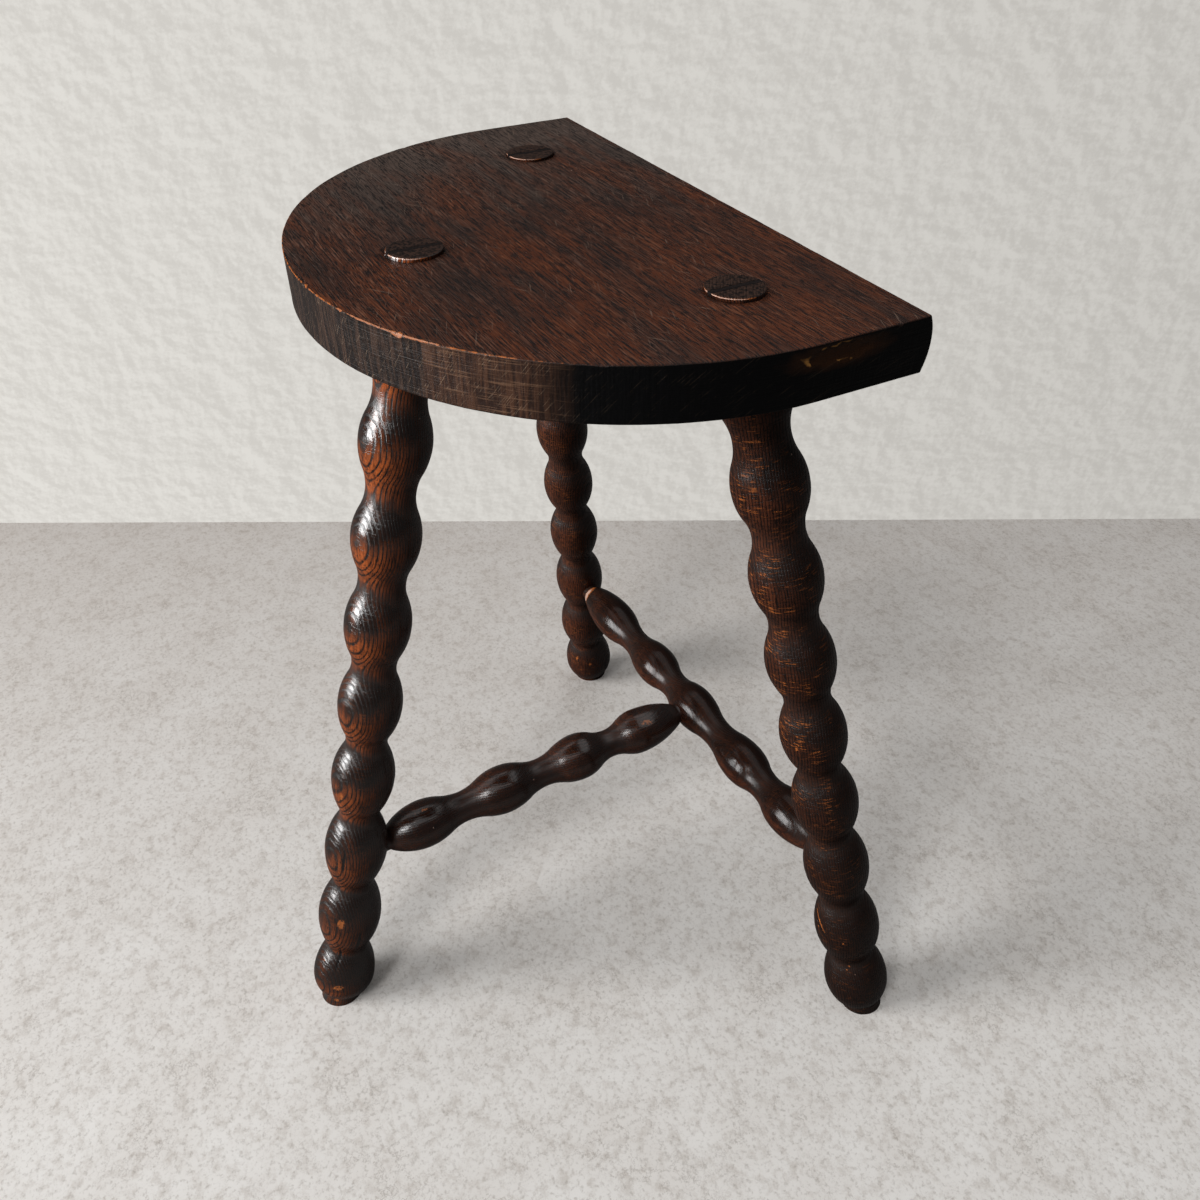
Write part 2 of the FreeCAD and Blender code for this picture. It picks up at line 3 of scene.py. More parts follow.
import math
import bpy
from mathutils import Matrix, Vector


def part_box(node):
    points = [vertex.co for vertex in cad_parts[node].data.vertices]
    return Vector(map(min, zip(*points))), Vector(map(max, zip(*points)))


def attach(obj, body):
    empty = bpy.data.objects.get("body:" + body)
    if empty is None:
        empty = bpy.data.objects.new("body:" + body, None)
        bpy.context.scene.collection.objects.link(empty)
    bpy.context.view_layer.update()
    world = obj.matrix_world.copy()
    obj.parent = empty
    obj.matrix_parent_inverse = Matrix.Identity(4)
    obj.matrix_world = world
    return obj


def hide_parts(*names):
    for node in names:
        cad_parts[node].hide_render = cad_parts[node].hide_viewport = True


bl_info = {
    "name": "Bobbin stool",
    "version": (1, 0, 0),
    "blender": (4, 5, 0),
    "location": "3D View > Sidebar > Bobbin stool",
    "description": "Half-moon stool with turned bobbin legs, wedged through the seat and tied by two stretchers",
    "category": "Object",
}

from collections import namedtuple
from functools import partial

import bmesh
import bpy
import numpy as np
from bpy.props import FloatProperty, FloatVectorProperty, IntProperty, PointerProperty
from mathutils import Quaternion, Vector, noise
from mathutils.geometry import delaunay_2d_cdt

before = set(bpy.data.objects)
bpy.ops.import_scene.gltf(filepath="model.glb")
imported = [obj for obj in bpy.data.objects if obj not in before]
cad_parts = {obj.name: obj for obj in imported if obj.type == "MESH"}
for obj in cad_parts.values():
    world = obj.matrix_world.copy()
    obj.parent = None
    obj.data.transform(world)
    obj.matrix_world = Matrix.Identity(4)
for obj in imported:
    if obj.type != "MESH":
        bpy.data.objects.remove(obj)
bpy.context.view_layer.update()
SEAT_LOW, SEAT_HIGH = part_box("seat")
TENON_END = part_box("leg_front")[1].z

MM = 0.001

# The turner's marks, in millimetres, and the shares by which the bobbins differ from foot to seat.
Leg = namedtuple("Leg", "side head foot foot_crown top_crown girth")
LEGS = (
    Leg("left", (-97.2, 62.8), (-176.3, 134.7), 22.9, 18.0, 0.96),
    Leg("right", (97.2, 59.8), (176.3, 145.6), 25.6, 15.5, 1.0),
    Leg("front", (0.0, -36.2), (14.0, -145.9), 19.4, 12.5, 0.985),
)
LEG_PITCHES = (1.03, 1.078, 1.038, 0.979, 0.979, 0.975, 0.966, 0.955)
LEG_CROWNS = (1.1, 1.085, 1.05, 1.02, 1.0, 1.0, 1.0, 1.0, 1.0)
LEG_NECKS = (1.02, 0.98, 0.95, 0.95, 0.98, 1.0, 1.01, 1.04, 1.04)
LEG_COVES = (0.12, 0.15, 0.2, 0.26, 0.34, 0.4, 0.45, 0.48, 0.48)
SHOULDER_SHARE = 0.87

Rail = namedtuple("Rail", "name crowns pitches necks first last start_gap end_gap reach")
CROSS = Rail(
    "cross_stretcher", (0.97, 0.97, 0.98, 0.97, 0.96), (1.105, 0.895, 1.108, 0.892),
    (0.97, 1.0, 1.02, 1.0), 55.5, 45.6, 21.9, 20.8, 4.0,
)
MEDIAL = Rail(
    "medial_stretcher", (1.01, 1.04, 1.03, 1.01), (1.06, 1.05, 0.89),
    (1.0, 0.98, 0.96), 42.5, 43.4, 20.4, 14.7, 1.0,
)
RAIL_COVE = 0.45
RAIL_TENON_START, SHOULDER_STEP = -4.0 * MM, 0.2 * MM
RAIL_HEIGHTS = {"left": 122.3, "right": 124.4, "front": 118.6}
TEE_CROWN_INDEX = 2


def linear(code):
    """A colour as Blender's nodes take it, from its sRGB hex value."""
    channels = (int(code[i : i + 2], 16) / 255 for i in (0, 2, 4))
    return (*(c / 12.92 if c <= 0.04045 else ((c + 0.055) / 1.055) ** 2.4 for c in channels), 1.0)


def length(name, description, default):
    return FloatProperty(name=name, description=description, default=default, unit="LENGTH", min=0.0, precision=4)


def power(name, description, default):
    return FloatProperty(name=name, description=description, default=default, unit="POWER")


def colour(name, description, code):
    return FloatVectorProperty(
        name=name, description=description, default=linear(code), subtype="COLOR", size=4, min=0.0, max=1.0)


class StoolSeat(bpy.types.PropertyGroup):
    height: length("Height", "From the floor to the top of the seat", SEAT_HIGH.z)
    thickness: length("Thickness", "Thickness of the plank", SEAT_HIGH.z - SEAT_LOW.z)
    width: length("Width", "Along the straight edge", SEAT_HIGH.x - SEAT_LOW.x)
    back: length("Straight edge", "From the stool's middle to the straight edge", SEAT_HIGH.y)
    side_length: length("Sides", "Straight part of each side", 49.7 * MM)
    bulge: length("Bulge", "How far the straight edge is rounded outwards", 2.8 * MM)
    arris: length("Worn arris", "Rounding of the worn edges", 0.6 * MM)
    spacing: length("Spacing", "Spacing of the points round the edge", 1.5 * MM)


class StoolTurning(bpy.types.PropertyGroup):
    bobbin_radius: length("Bobbin radius", "Plain bobbin of a leg", 17.5 * MM)
    neck_radius: length("Neck radius", "Between two bobbins of a leg", 12.2 * MM)
    foot_radius: length("Foot radius", "Collar that stands on the floor", 12.8 * MM)
    foot_collar: length("Foot collar", "Height of the collar", 4.4 * MM)
    tenon_radius: length("Tenon radius", "Through tenon in the seat", 11.9 * MM)
    kerf_depth: length("Kerf depth", "Saw cut below the top of the seat", 17.0 * MM)
    wedge_top: length("Wedge thickness", "At the tenon's end", 2.6 * MM)
    wedge_tip: length("Wedge tip", "At the bottom of the saw cut", 0.8 * MM)
    row_spacing: length("Row spacing", "Spacing of the rings of faces along a turning", 0.9 * MM)
    sides: IntProperty(name="Sides", description="Faces round a leg", default=150, min=12)
    wear: length("Wear", "Deepest dent of handling and shrinkage", 0.22 * MM)
    seed: IntProperty(name="Seed", description="Changes the dents", default=7)


class StoolRails(bpy.types.PropertyGroup):
    bobbin_radius: length("Bobbin radius", "Plain bobbin of a stretcher", 14.4 * MM)
    neck_radius: length("Neck radius", "Between two bobbins of a stretcher", 9.5 * MM)
    tenon_radius: length("Tenon radius", "Round tenon at each end", 6.4 * MM)
    shoulder_radius: length("Shoulder radius", "Where the tenon starts", 7.2 * MM)
    sides: IntProperty(name="Sides", description="Faces round a stretcher", default=120, min=12)


class StoolFinish(bpy.types.PropertyGroup):
    seat_dark: colour("Seat, dark", "Stained oak where the wax has gathered dirt", "2d211c")
    seat_warm: colour("Seat, warm", "Stained oak rubbed down to brown", "562b17")
    seat_edge: colour("Seat edge", "Stain on the sawn edge and the wedges", "1f1715")
    end_grain: colour("End grain", "Cut ends of the tenons", "3d2b23")
    leg_dark: colour("Legs, dark", "Stain on the turnings", "261610")
    leg_warm: colour("Legs, warm", "Stain worn to orange brown", "b95e2c")
    rail_warm: colour("Stretchers, warm", "Stain worn to red brown", "6a3a26")
    pore: colour("Pores", "Open pores full of stain", "120d0c")
    bare: colour("Bare wood", "Arrises worn through the stain", "c9a694")
    rubbed: colour("Rubbed wood", "Spots knocked or rubbed to orange", "a9602f")
    dust: colour("Dust", "Old wax and dust in the necks", "4a3f3a")


class StoolStage(bpy.types.PropertyGroup):
    floor: colour("Floor", "Cast floor", "efece8")
    wall: colour("Far ground", "Paler ground behind the stool", "dedbd5")
    daylight: power("Daylight", "Power of the soft window at the left", 265.0)
    second: power("Second window", "Power of the window nearer the camera", 30.0)
    ceiling: power("Ceiling", "Power of the wide lamp overhead", 19.0)
    fill: FloatProperty(name="Fill", description="Strength of the even light from all sides", default=0.05)


# Kinds of node that are used often. A tuple also says which operation or data is meant.
NOISE, RANGE, MIX = "ShaderNodeTexNoise", "ShaderNodeMapRange", "ShaderNodeMix"
SPLIT, JOIN = "ShaderNodeSeparateXYZ", "ShaderNodeCombineXYZ"
TINT = (MIX, "data_type", "RGBA")
(ABSOLUTE, ADD, DIVIDE, FLOOR, GREATER_THAN, LESS_THAN, MAXIMUM, MINIMUM, MULTIPLY, MULTIPLY_ADD, PINGPONG, SQRT,
 SUBTRACT) = (("ShaderNodeMath", "operation", name) for name in (
    "ABSOLUTE", "ADD", "DIVIDE", "FLOOR", "GREATER_THAN", "LESS_THAN", "MAXIMUM", "MINIMUM", "MULTIPLY",
    "MULTIPLY_ADD", "PINGPONG", "SQRT", "SUBTRACT"))
ADD_V, DOT_V, LENGTH_V, MULTIPLY_V, SCALE_V, SUBTRACT_V, UNIT_V = (
    ("ShaderNodeVectorMath", "operation", name)
    for name in ("ADD", "DOT_PRODUCT", "LENGTH", "MULTIPLY", "SCALE", "SUBTRACT", "NORMALIZE"))


def add(tree, kind, *inputs, **settings):
    """Add a node. An input is a value, a socket, or a node whose first live output is meant.

    None leaves an input as it is, and a dict fills inputs by name.
    """
    name, *choice = (kind,) if isinstance(kind, str) else kind
    node = tree.nodes.new(name)
    if choice:
        setattr(node, *choice)
    for key, value in settings.items():
        setattr(node, key, value)
    live = [socket for socket in node.inputs if socket.enabled]
    pairs = []
    for socket, value in zip(live, inputs):
        if isinstance(value, dict):
            pairs += [(node.inputs[name], each) for name, each in value.items()]
        elif value is not None:
            pairs.append((socket, value))
    for socket, value in pairs:
        if isinstance(value, bpy.types.Node):
            value = next(out for out in value.outputs if out.enabled)
        if isinstance(value, bpy.types.NodeSocket):
            tree.links.new(value, socket)
        else:
            socket.default_value = value
    return node


def clamp(value, low=0.0, high=1.0):
    return max(low, min(high, value))


def compass(degrees):
    """A level direction, by degrees anticlockwise from +X."""
    return Vector((math.cos(math.radians(degrees)), math.sin(math.radians(degrees)), 0.0))


# Turned pieces

def sag(put, radius, reach):
    """How far an arc of that radius falls away over a reach along its tangent."""
    reach_squared = put(MULTIPLY, reach, reach)
    left = put(MAXIMUM, put(SUBTRACT, put(MULTIPLY, radius, radius), reach_squared), 0.0)
    return put(DIVIDE, reach_squared, put(ADD, radius, put(SQRT, left)))


def turning_tree():
    """Nodes that turn a piece from a story stick, the turner's row of marks.

    Each point of the stick is one mark: x is the radius there, y the share of the next sway that
    is hollow, and z the place along the axis. From mark to mark the outline is one round arc and
    one hollow arc, tangent to each other and level at both marks.
    """
    tree = bpy.data.node_groups.new("Turned bobbins", "GeometryNodeTree")
    for kind, names in (
        ("Geometry", ("Stick",)), ("Vector", ("Foot", "Head")),
        ("Float", ("Level ends", "Shoulder height", "Shoulder radius", "Crown radius", "Neck radius", "Row spacing")),
        ("Int", ("Sides",)), ("Float", ("Wear", "Seed")), ("Material", ("Material",)),
    ):
        for name in names:
            tree.interface.new_socket(name, in_out="INPUT", socket_type=f"NodeSocket{kind}")
    tree.interface.new_socket("Turning", in_out="OUTPUT", socket_type="NodeSocketGeometry")
    put = partial(add, tree)
    given = put("NodeGroupInput").outputs
    stick = given["Stick"]

    # The stick becomes a straight curve with a ring of faces at each of its points.
    capture = put("GeometryNodeCaptureAttribute")
    capture.capture_items.new("FLOAT", "Mark")
    tree.links.new(stick, capture.inputs[0])
    tree.links.new(put("GeometryNodeInputIndex").outputs[0], capture.inputs[1])
    mark = capture.outputs[1]
    place = put("GeometryNodeInputPosition")
    upright = put(JOIN, 0.0, 0.0, put(SPLIT, place).outputs["Z"])
    curve = put("GeometryNodeMeshToCurve", put("GeometryNodeSetPosition", capture.outputs[0], None, upright))
    rows = put("GeometryNodeResampleCurve", curve, None, given["Row spacing"], mode="LENGTH")
    circle = put("GeometryNodeCurvePrimitiveCircle", given["Sides"], 1.0, mode="RADIUS")
    tube = put("GeometryNodeCurveToMesh", rows, circle, 1.0, True)

    # Directions of the axis and of each point from it, in the stool's own frame.
    axis = put(UNIT_V, put(SUBTRACT_V, given["Head"], given["Foot"]))
    turn = put("FunctionNodeAlignRotationToVector", None, 1.0, axis, axis="Z")
    local = put(SPLIT, place).outputs
    out = put(JOIN, local["X"], local["Y"], 0.0)
    out_height, axis_height, foot_height = (
        put(SPLIT, way).outputs["Z"] for way in (put("FunctionNodeRotateVector", out, turn), axis, given["Foot"]))

    # The marks either side of each row, then the two at each end.
    count = put("GeometryNodeAttributeDomainSize", stick, component="MESH").outputs["Point Count"]
    last, last_but_one = (put(SUBTRACT, count, back) for back in (1.0, 2.0))
    before = put(MINIMUM, put(FLOOR, mark), last_but_one)
    lower, upper, first, second, crown, end = (
        put(SPLIT, put("GeometryNodeSampleIndex", stick, place, index, data_type="FLOAT_VECTOR")).outputs
        for index in (before, put(ADD, before, 1.0), 0, 1, last_but_one, last))

    # Rows near a level end are spread or crowded, so that the last of them lies in the level plane.
    floor_place = put(MULTIPLY, put(DIVIDE, put(MULTIPLY, first["X"], out_height), axis_height), -1.0)
    rise = put(SUBTRACT, put(SUBTRACT, given["Shoulder height"], foot_height),
               put(MULTIPLY, given["Shoulder radius"], out_height))
    station = local["Z"]
    for near, far, goal in ((second["Z"], first["Z"], floor_place),
                            (crown["Z"], end["Z"], put(DIVIDE, rise, axis_height))):
        share = put(DIVIDE, put(SUBTRACT, local["Z"], near), put(SUBTRACT, far, near))
        share = put(MAXIMUM, put(MULTIPLY, share, given["Level ends"]), 0.0)
        station = put(ADD, station, put(MULTIPLY, share, put(SUBTRACT, goal, far)))

    # Radius at each row, on the round arc of its sway or in the hollow one.
    wide, narrow = (put(kind, lower["X"], upper["X"]) for kind in (MAXIMUM, MINIMUM))
    run = put(SUBTRACT, upper["Z"], lower["Z"])
    fall = put(MAXIMUM, put(SUBTRACT, wide, narrow), 1e-6)
    both = put(DIVIDE, put(ADD, put(MULTIPLY, run, run), put(MULTIPLY, fall, fall)), put(MULTIPLY, fall, 2.0))
    hollow = put(MULTIPLY, both, lower["Y"])
    along = put(SUBTRACT, station, lower["Z"])
    falling = put(GREATER_THAN, lower["X"], upper["X"])
    from_crown = put(MIX, falling, put(SUBTRACT, run, along), along)
    on_round = put(SUBTRACT, wide, sag(put, put(SUBTRACT, both, hollow), from_crown))
    in_hollow = put(ADD, narrow, sag(put, hollow, put(SUBTRACT, run, from_crown)))
    meeting = put(SUBTRACT, run, put(MULTIPLY, run, lower["Y"]))
    radius = put(MIX, put(GREATER_THAN, from_crown, meeting), on_round, in_hollow)

    # Shrinkage and dents only take wood away.
    lift = put(JOIN, 0.0, 0.0, station)
    stock = put(ADD_V, put(SCALE_V, {"Vector": out, "Scale": radius}), lift)
    dents = put(NOISE, stock, given["Seed"], 60.0, 2.0, 0.5, noise_dimensions="4D")
    radius = put(SUBTRACT, radius, put(MULTIPLY, put(RANGE, dents, 0.35, 0.75, 0.0, 1.0), given["Wear"]))
    stock = put(ADD_V, put(SCALE_V, {"Vector": out, "Scale": radius}), lift)
    depth = put(RANGE, radius, given["Crown radius"], given["Neck radius"], 0.0, 1.0)

    # Into the stool's frame, with the first and last rows slid exactly onto their planes.
    placed = put(ADD_V, put("FunctionNodeRotateVector", stock, turn), given["Foot"])
    at_top = put(GREATER_THAN, mark, put(SUBTRACT, last, 0.001))
    at_end = put(ADD, at_top, put(LESS_THAN, mark, 0.001))
    goal = put(MIX, at_top, foot_height, given["Shoulder height"])
    slide = put(DIVIDE, put(SUBTRACT, goal, put(SPLIT, placed).outputs["Z"]), axis_height)
    slide = put(MULTIPLY, put(MULTIPLY, slide, at_end), given["Level ends"])
    placed = put(ADD_V, placed, put(SCALE_V, {"Vector": axis, "Scale": slide}))

    shaped = put("GeometryNodeStoreNamedAttribute", tube, None, "stock", stock, data_type="FLOAT_VECTOR")
    shaped = put("GeometryNodeStoreNamedAttribute", shaped, None, "hollow", depth, data_type="FLOAT")
    shaped = put("GeometryNodeSetPosition", shaped, None, placed)
    shaped = put("GeometryNodeSetShadeSmooth", shaped, None, True)
    shaped = put("GeometryNodeRealizeInstances", shaped)
    shaped = put("GeometryNodeSetMaterial", shaped, None, given["Material"])
    put("NodeGroupOutput", shaped)
    return tree


def turned(name, marks, values):
    """A plain mesh object, turned by the node tree from the marks on its story stick."""
    stick = bpy.data.meshes.new("story stick")
    stick.from_pydata(marks, [(i, i + 1) for i in range(len(marks) - 1)], [])
    maker = link("story stick", stick)
    modifier = maker.modifiers.new("Turned bobbins", "NODES")
    modifier.node_group = bpy.data.node_groups.get("Turned bobbins") or turning_tree()
    for item in modifier.node_group.interface.items_tree:
        if item.in_out == "INPUT" and item.name in values:
            modifier[item.identifier] = values[item.name]
    shaped = maker.evaluated_get(bpy.context.evaluated_depsgraph_get())
    mesh = bpy.data.meshes.new_from_object(shaped)
    maker.modifiers.remove(modifier)
    bpy.data.objects.remove(maker)
    bpy.data.meshes.remove(stick)
    mesh.name = name
    return link(name, mesh)


def link(name, mesh):
    """Put a mesh in the scene. The CAD nodes hold their own names, so each dressed piece adds a word."""
    piece = bpy.data.objects.new(name, mesh)
    bpy.context.scene.collection.objects.link(piece)
    return piece


def link_body(name, body, material):
    """Put a body in the scene as a mesh of its own."""
    mesh = bpy.data.meshes.new(name)
    body.to_mesh(mesh)
    body.free()
    mesh.materials.append(material)
    return link(name, mesh)


def hand_over(piece, node):
    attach(piece, "root")
    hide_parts(node)


def leg_ends(leg):
    """Axis of a leg from the floor to the top of the seat, in metres."""
    top = bpy.context.scene.stool_seat.height
    return Vector((leg.foot[0] * MM, leg.foot[1] * MM, 0.0)), Vector((leg.head[0] * MM, leg.head[1] * MM, top))


def leg_at(side):
    """Where the stretcher meets a leg's axis."""
    foot, head = leg_ends(next(leg for leg in LEGS if leg.side == side))
    return foot.lerp(head, RAIL_HEIGHTS[side] * MM / head.z)


def bobbin_marks(first, pitch, pitches, crowns, necks, coves, crown_radius, neck_radius):
    """Marks of a run of bobbins: crown, neck, crown and so on, with a last neck if one is listed."""
    marks, place = [], first
    for index, share in enumerate(crowns):
        cove = coves[min(index, len(coves) - 1)]
        marks.append((crown_radius * share, cove, place))
        if index < len(necks):
            step = pitch * pitches[min(index, len(pitches) - 1)]
            marks.append((neck_radius * necks[index], cove, place + step / 2))
            place += step
    return marks


def leg_marks(leg, sizes):
    foot, head = leg_ends(leg)
    lean = math.hypot(head.x - foot.x, head.y - foot.y) / head.z
    underside = (head - foot).length * (head.z - bpy.context.scene.stool_seat.thickness) / head.z
    first = leg.foot_crown * MM
    pitch = (underside - leg.top_crown * MM - first) / sum(LEG_PITCHES)
    run = bobbin_marks(first, pitch, LEG_PITCHES, LEG_CROWNS, LEG_NECKS, LEG_COVES,
                       sizes.bobbin_radius * leg.girth, sizes.neck_radius * leg.girth)
    return [(sizes.foot_radius, 0.5, -sizes.foot_radius * lean), (sizes.foot_radius, 0.5, sizes.foot_collar),
            (sizes.neck_radius, 0.0, sizes.foot_collar + 0.5 * MM), *run]


class OBJECT_OT_stool_legs(bpy.types.Operator):
    """Turn the three legs and saw their through tenons for the wedges"""

    bl_idname = "object.stool_legs"
    bl_label = "Legs"

    def execute(self, context):
        sizes, seat = context.scene.stool_turning, context.scene.stool_seat
        for number, leg in enumerate(LEGS):
            foot, head = leg_ends(leg)
            crown = sizes.bobbin_radius * leg.girth
            piece = turned(f"turned_leg_{leg.side}", leg_marks(leg, sizes), {
                "Foot": foot, "Head": head, "Level ends": 1.0, "Shoulder height": seat.height - seat.thickness,
                "Shoulder radius": crown * SHOULDER_SHARE, "Crown radius": crown,
                "Neck radius": sizes.neck_radius * leg.girth, "Row spacing": sizes.row_spacing,
                "Sides": sizes.sides, "Wear": sizes.wear, "Seed": float(sizes.seed + number),
                "Material": turned_oak(f"waxed oak, {leg.side} leg", look_of(leg.side)),
            })
            mark_surface(piece.data, MARKS[leg.side])
            add_tenon(piece.data, leg, sizes)
            hand_over(piece, f"leg_{leg.side}")
        return {"FINISHED"}


class Axis:
    """A leg's axis, with the points where lines along it meet level planes."""

    def __init__(self, leg):
        self.foot, head = leg_ends(leg)
        self.way = (head - self.foot).normalized()
        turn = self.way.to_track_quat("Z", "Y").to_matrix()
        # Level slices of the round stock: the radius stretches along the lean.
        self.u, self.v = (side - self.way * (side.z / self.way.z) for side in turn.col[:2])

    def at(self, height):
        return self.foot + self.way * ((height - self.foot.z) / self.way.z)

    def slice_point(self, height, radius, angle):
        return self.at(height) + (self.u * math.cos(angle) + self.v * math.sin(angle)) * radius

    def side_angles(self, radius, gap):
        """Angles at which the slice reaches a gap to the +X side of the axis."""
        reach = math.hypot(self.u.x, self.v.x) * radius
        return math.atan2(self.v.x, self.u.x), math.acos(clamp(gap / reach, -1.0))


# Points along the arc and along the saw cut of half a tenon, and across a wedge.
ARC_STEPS, CUT_STEPS, WEDGE_STEPS = 40, 13, 12


def half_ring(axis, side, height, radius, gap):
    """Outline of one half of a sawn tenon in a level plane, anticlockwise from above."""
    middle, half = axis.side_angles(radius, gap)
    if side < 0:
        middle += math.pi
    arc = [axis.slice_point(height, radius, middle - half + 2 * half * i / ARC_STEPS) for i in range(ARC_STEPS + 1)]
    return arc + [arc[-1].lerp(arc[0], i / CUT_STEPS) for i in range(1, CUT_STEPS)]


def bridge(body, rings, smooth=True):
    """Faces from each ring of points, anticlockwise from above, down to the next."""
    for upper, lower in zip(rings, rings[1:]):
        for i in range(len(upper)):
            j = (i + 1) % len(upper)
            body.faces.new((upper[i], lower[i], lower[j], upper[j])).smooth = smooth


def wedge_thickness(sizes, share):
    return sizes.wedge_top + (sizes.wedge_tip - sizes.wedge_top) * share


# Rings down a tenon: drop from its end, narrowing and wear, all but the wear in millimetres. The wear is bare wood
# on the rim, painted only on the side that faces the second window, so wear and a painted highlight.
TENON_RINGS = (
    (0.0, 1.4, 0.0), (0.02, 0.4, 0.0), (0.1, 0.14, 0.5), (0.25, 0.0, 1.0), (0.5, 0.0, 0.9), (0.65, 0.0, 0.0),
    (1.7, 0.0, 0.0), (3.0, 0.0, 0.0), (14.0, 0.0, 0.0), (30.0, 0.0, 0.0),
)
# Free gap between wedge and kerf on each side, in millimetres: a wedge leans against one of them.
KERF_GAPS = ((-1, 0.04), (1, 0.24))
# The side of each tenon's rim that faces the second window, where bare wood is painted: wear and a painted highlight.
LIT_RUBBED_SIDE = compass(298)
WEDGE_DROP = 0.05 * MM


def add_tenon(mesh, leg, sizes):
    """Add the two halves of the sawn tenon, rounded and rubbed at the end, with a painted highlight of bare wood on
    the rim's lit side, to a leg's mesh.
    """
    axis, body = Axis(leg), bmesh.new()
    body.from_mesh(mesh)
    stock, mark = body.verts.layers.float_vector["stock"], body.verts.layers.float["mark"]
    cut = body.verts.layers.float.new("cut")
    depth = sizes.kerf_depth + TENON_END - bpy.context.scene.stool_seat.height
    for side, gap in KERF_GAPS:
        rings = []
        for drop, inset, worn in TENON_RINGS:
            height = TENON_END - drop * MM
            wedge = wedge_thickness(sizes, min(1.0, (TENON_END - height) / depth))
            radius = sizes.tenon_radius - inset * MM
            ring = []
            for index, point in enumerate(half_ring(axis, side, height, radius, wedge / 2 + gap * MM)):
                out = point - axis.at(height)
                if drop < 1.0:
                    point = point - Vector((0.0, 0.0, max(0.0, 0.06 + 0.12 * noise.noise(point * 260.0)) * MM))
                vert = body.verts.new(point)
                vert[stock] = Vector((out.x, out.y, point.z / axis.way.z))
                # Bare wood only on the rim's lit side: wear and a painted highlight.
                facing = clamp(1.6 * out.normalized().dot(LIT_RUBBED_SIDE) - 0.3)
                vert[mark] = worn * 1.8 * facing if index <= ARC_STEPS else 0.0
                vert[cut] = max(0.0, 1.0 - drop * 6.0)
                ring.append(vert)
            rings.append(ring)
        bridge(body, rings)
        body.faces.new(rings[0]).smooth = True
        body.faces.new(rings[-1][::-1])
    body.to_mesh(mesh)
    body.free()


# Marks of use on each turning: degrees round it, place along it, half width and half length, lean of the
# length in degrees, depth, and 1 for rubbed wood, more for bare wood or -1 for a crack. Lengths are in
# millimetres.
MARKS = {
    "front": (
        (324, 80, 2.6, 3.4, 10, 0.15, 1), (330, 23.3, 3.6, 2.0, -15, 0.15, 1), (326, 3.5, 2.0, 1.2, 0, 0.3, 1),
        (283, 37.7, 0.8, 0.8, 0, 0.0, 1), (2, 63.7, 0.8, 9.0, 0, 0.35, -1), (322, 45.0, 0.8, 10.0, 4, 0.35, -1),
        (318, 131.0, 0.8, 8.0, 0, 0.3, -1), (300, 178.0, 1.2, 2.6, 0, 0.1, 1),
    ),
    "right": (
        (265, 89.1, 0.8, 9.0, -47, 0.45, -1), (262, 91.5, 1.6, 8.0, -47, 0.0, 1), (264, 86.3, 0.8, 0.8, 0, 0.0, 1),
        (317, 82.0, 0.7, 0.9, 0, 0.0, 1), (316, 50.5, 0.8, 0.8, 0, 0.0, 1), (309, 47.9, 0.7, 0.7, 0, 0.0, 1),
        (272, 7.9, 1.6, 1.0, 0, 0.3, 1), (327, 400.0, 0.3, 10.0, 0, 0.1, -1), (296, 240.0, 1.0, 2.2, 0, 0.1, 1),
    ),
    "left": (
        (300, 38.6, 1.4, 2.4, 0, 0.1, 1), (339, 34.2, 1.2, 1.6, 0, 0.1, 1), (337, 105.8, 0.7, 0.7, 0, 0.0, 1),
    ),
    "cross_stretcher": (
        (250, 24.5, 9.0, 3.0, 0, 0.0, 1.8), (330, 52.0, 0.8, 1.2, 0, 0.15, 1), (300, 262.0, 1.2, 2.0, 0, 0.1, 1),
    ),
    "medial_stretcher": ((300, 196.0, 2.0, 4.5, 20, 0.1, 0.9), (280, 44.0, 0.9, 2.6, 0, 0.1, 1)),
}


def mark_surface(mesh, marks):
    """Press the marks of use into a turning and note them on its points."""
    count = len(mesh.vertices)
    stock, normal, place = (np.empty(count * 3, "f") for _ in range(3))
    mesh.attributes["stock"].data.foreach_get("vector", stock)
    mesh.vertex_normals.foreach_get("vector", normal)
    mesh.vertices.foreach_get("co", place)
    stock, normal, place = (values.reshape(-1, 3) for values in (stock, normal, place))
    angle, radius = np.arctan2(stock[:, 1], stock[:, 0]), np.hypot(stock[:, 0], stock[:, 1])
    noted, sunk = np.zeros(count, "f"), np.zeros(count, "f")
    for turn, station, across, along, lean, depth, kind in marks:
        aside = ((angle - math.radians(turn) + math.pi) % math.tau - math.pi) * radius / MM
        run = stock[:, 2] / MM - station
        cos, sin = math.cos(math.radians(lean)), math.sin(math.radians(lean))
        reach = np.hypot((aside * cos - run * sin) / across, (aside * sin + run * cos) / along)
        near = np.clip(1.5 - reach, 0.0, 1.0)
        noted = np.where(near > np.abs(noted), near * kind, noted)
        sunk = np.maximum(sunk, near * depth * MM)
    place -= normal * sunk[:, None]
    mesh.vertices.foreach_set("co", place.ravel())
    mesh.attributes.new("mark", "FLOAT", "POINT").data.foreach_set("value", noted)
    mesh.update()


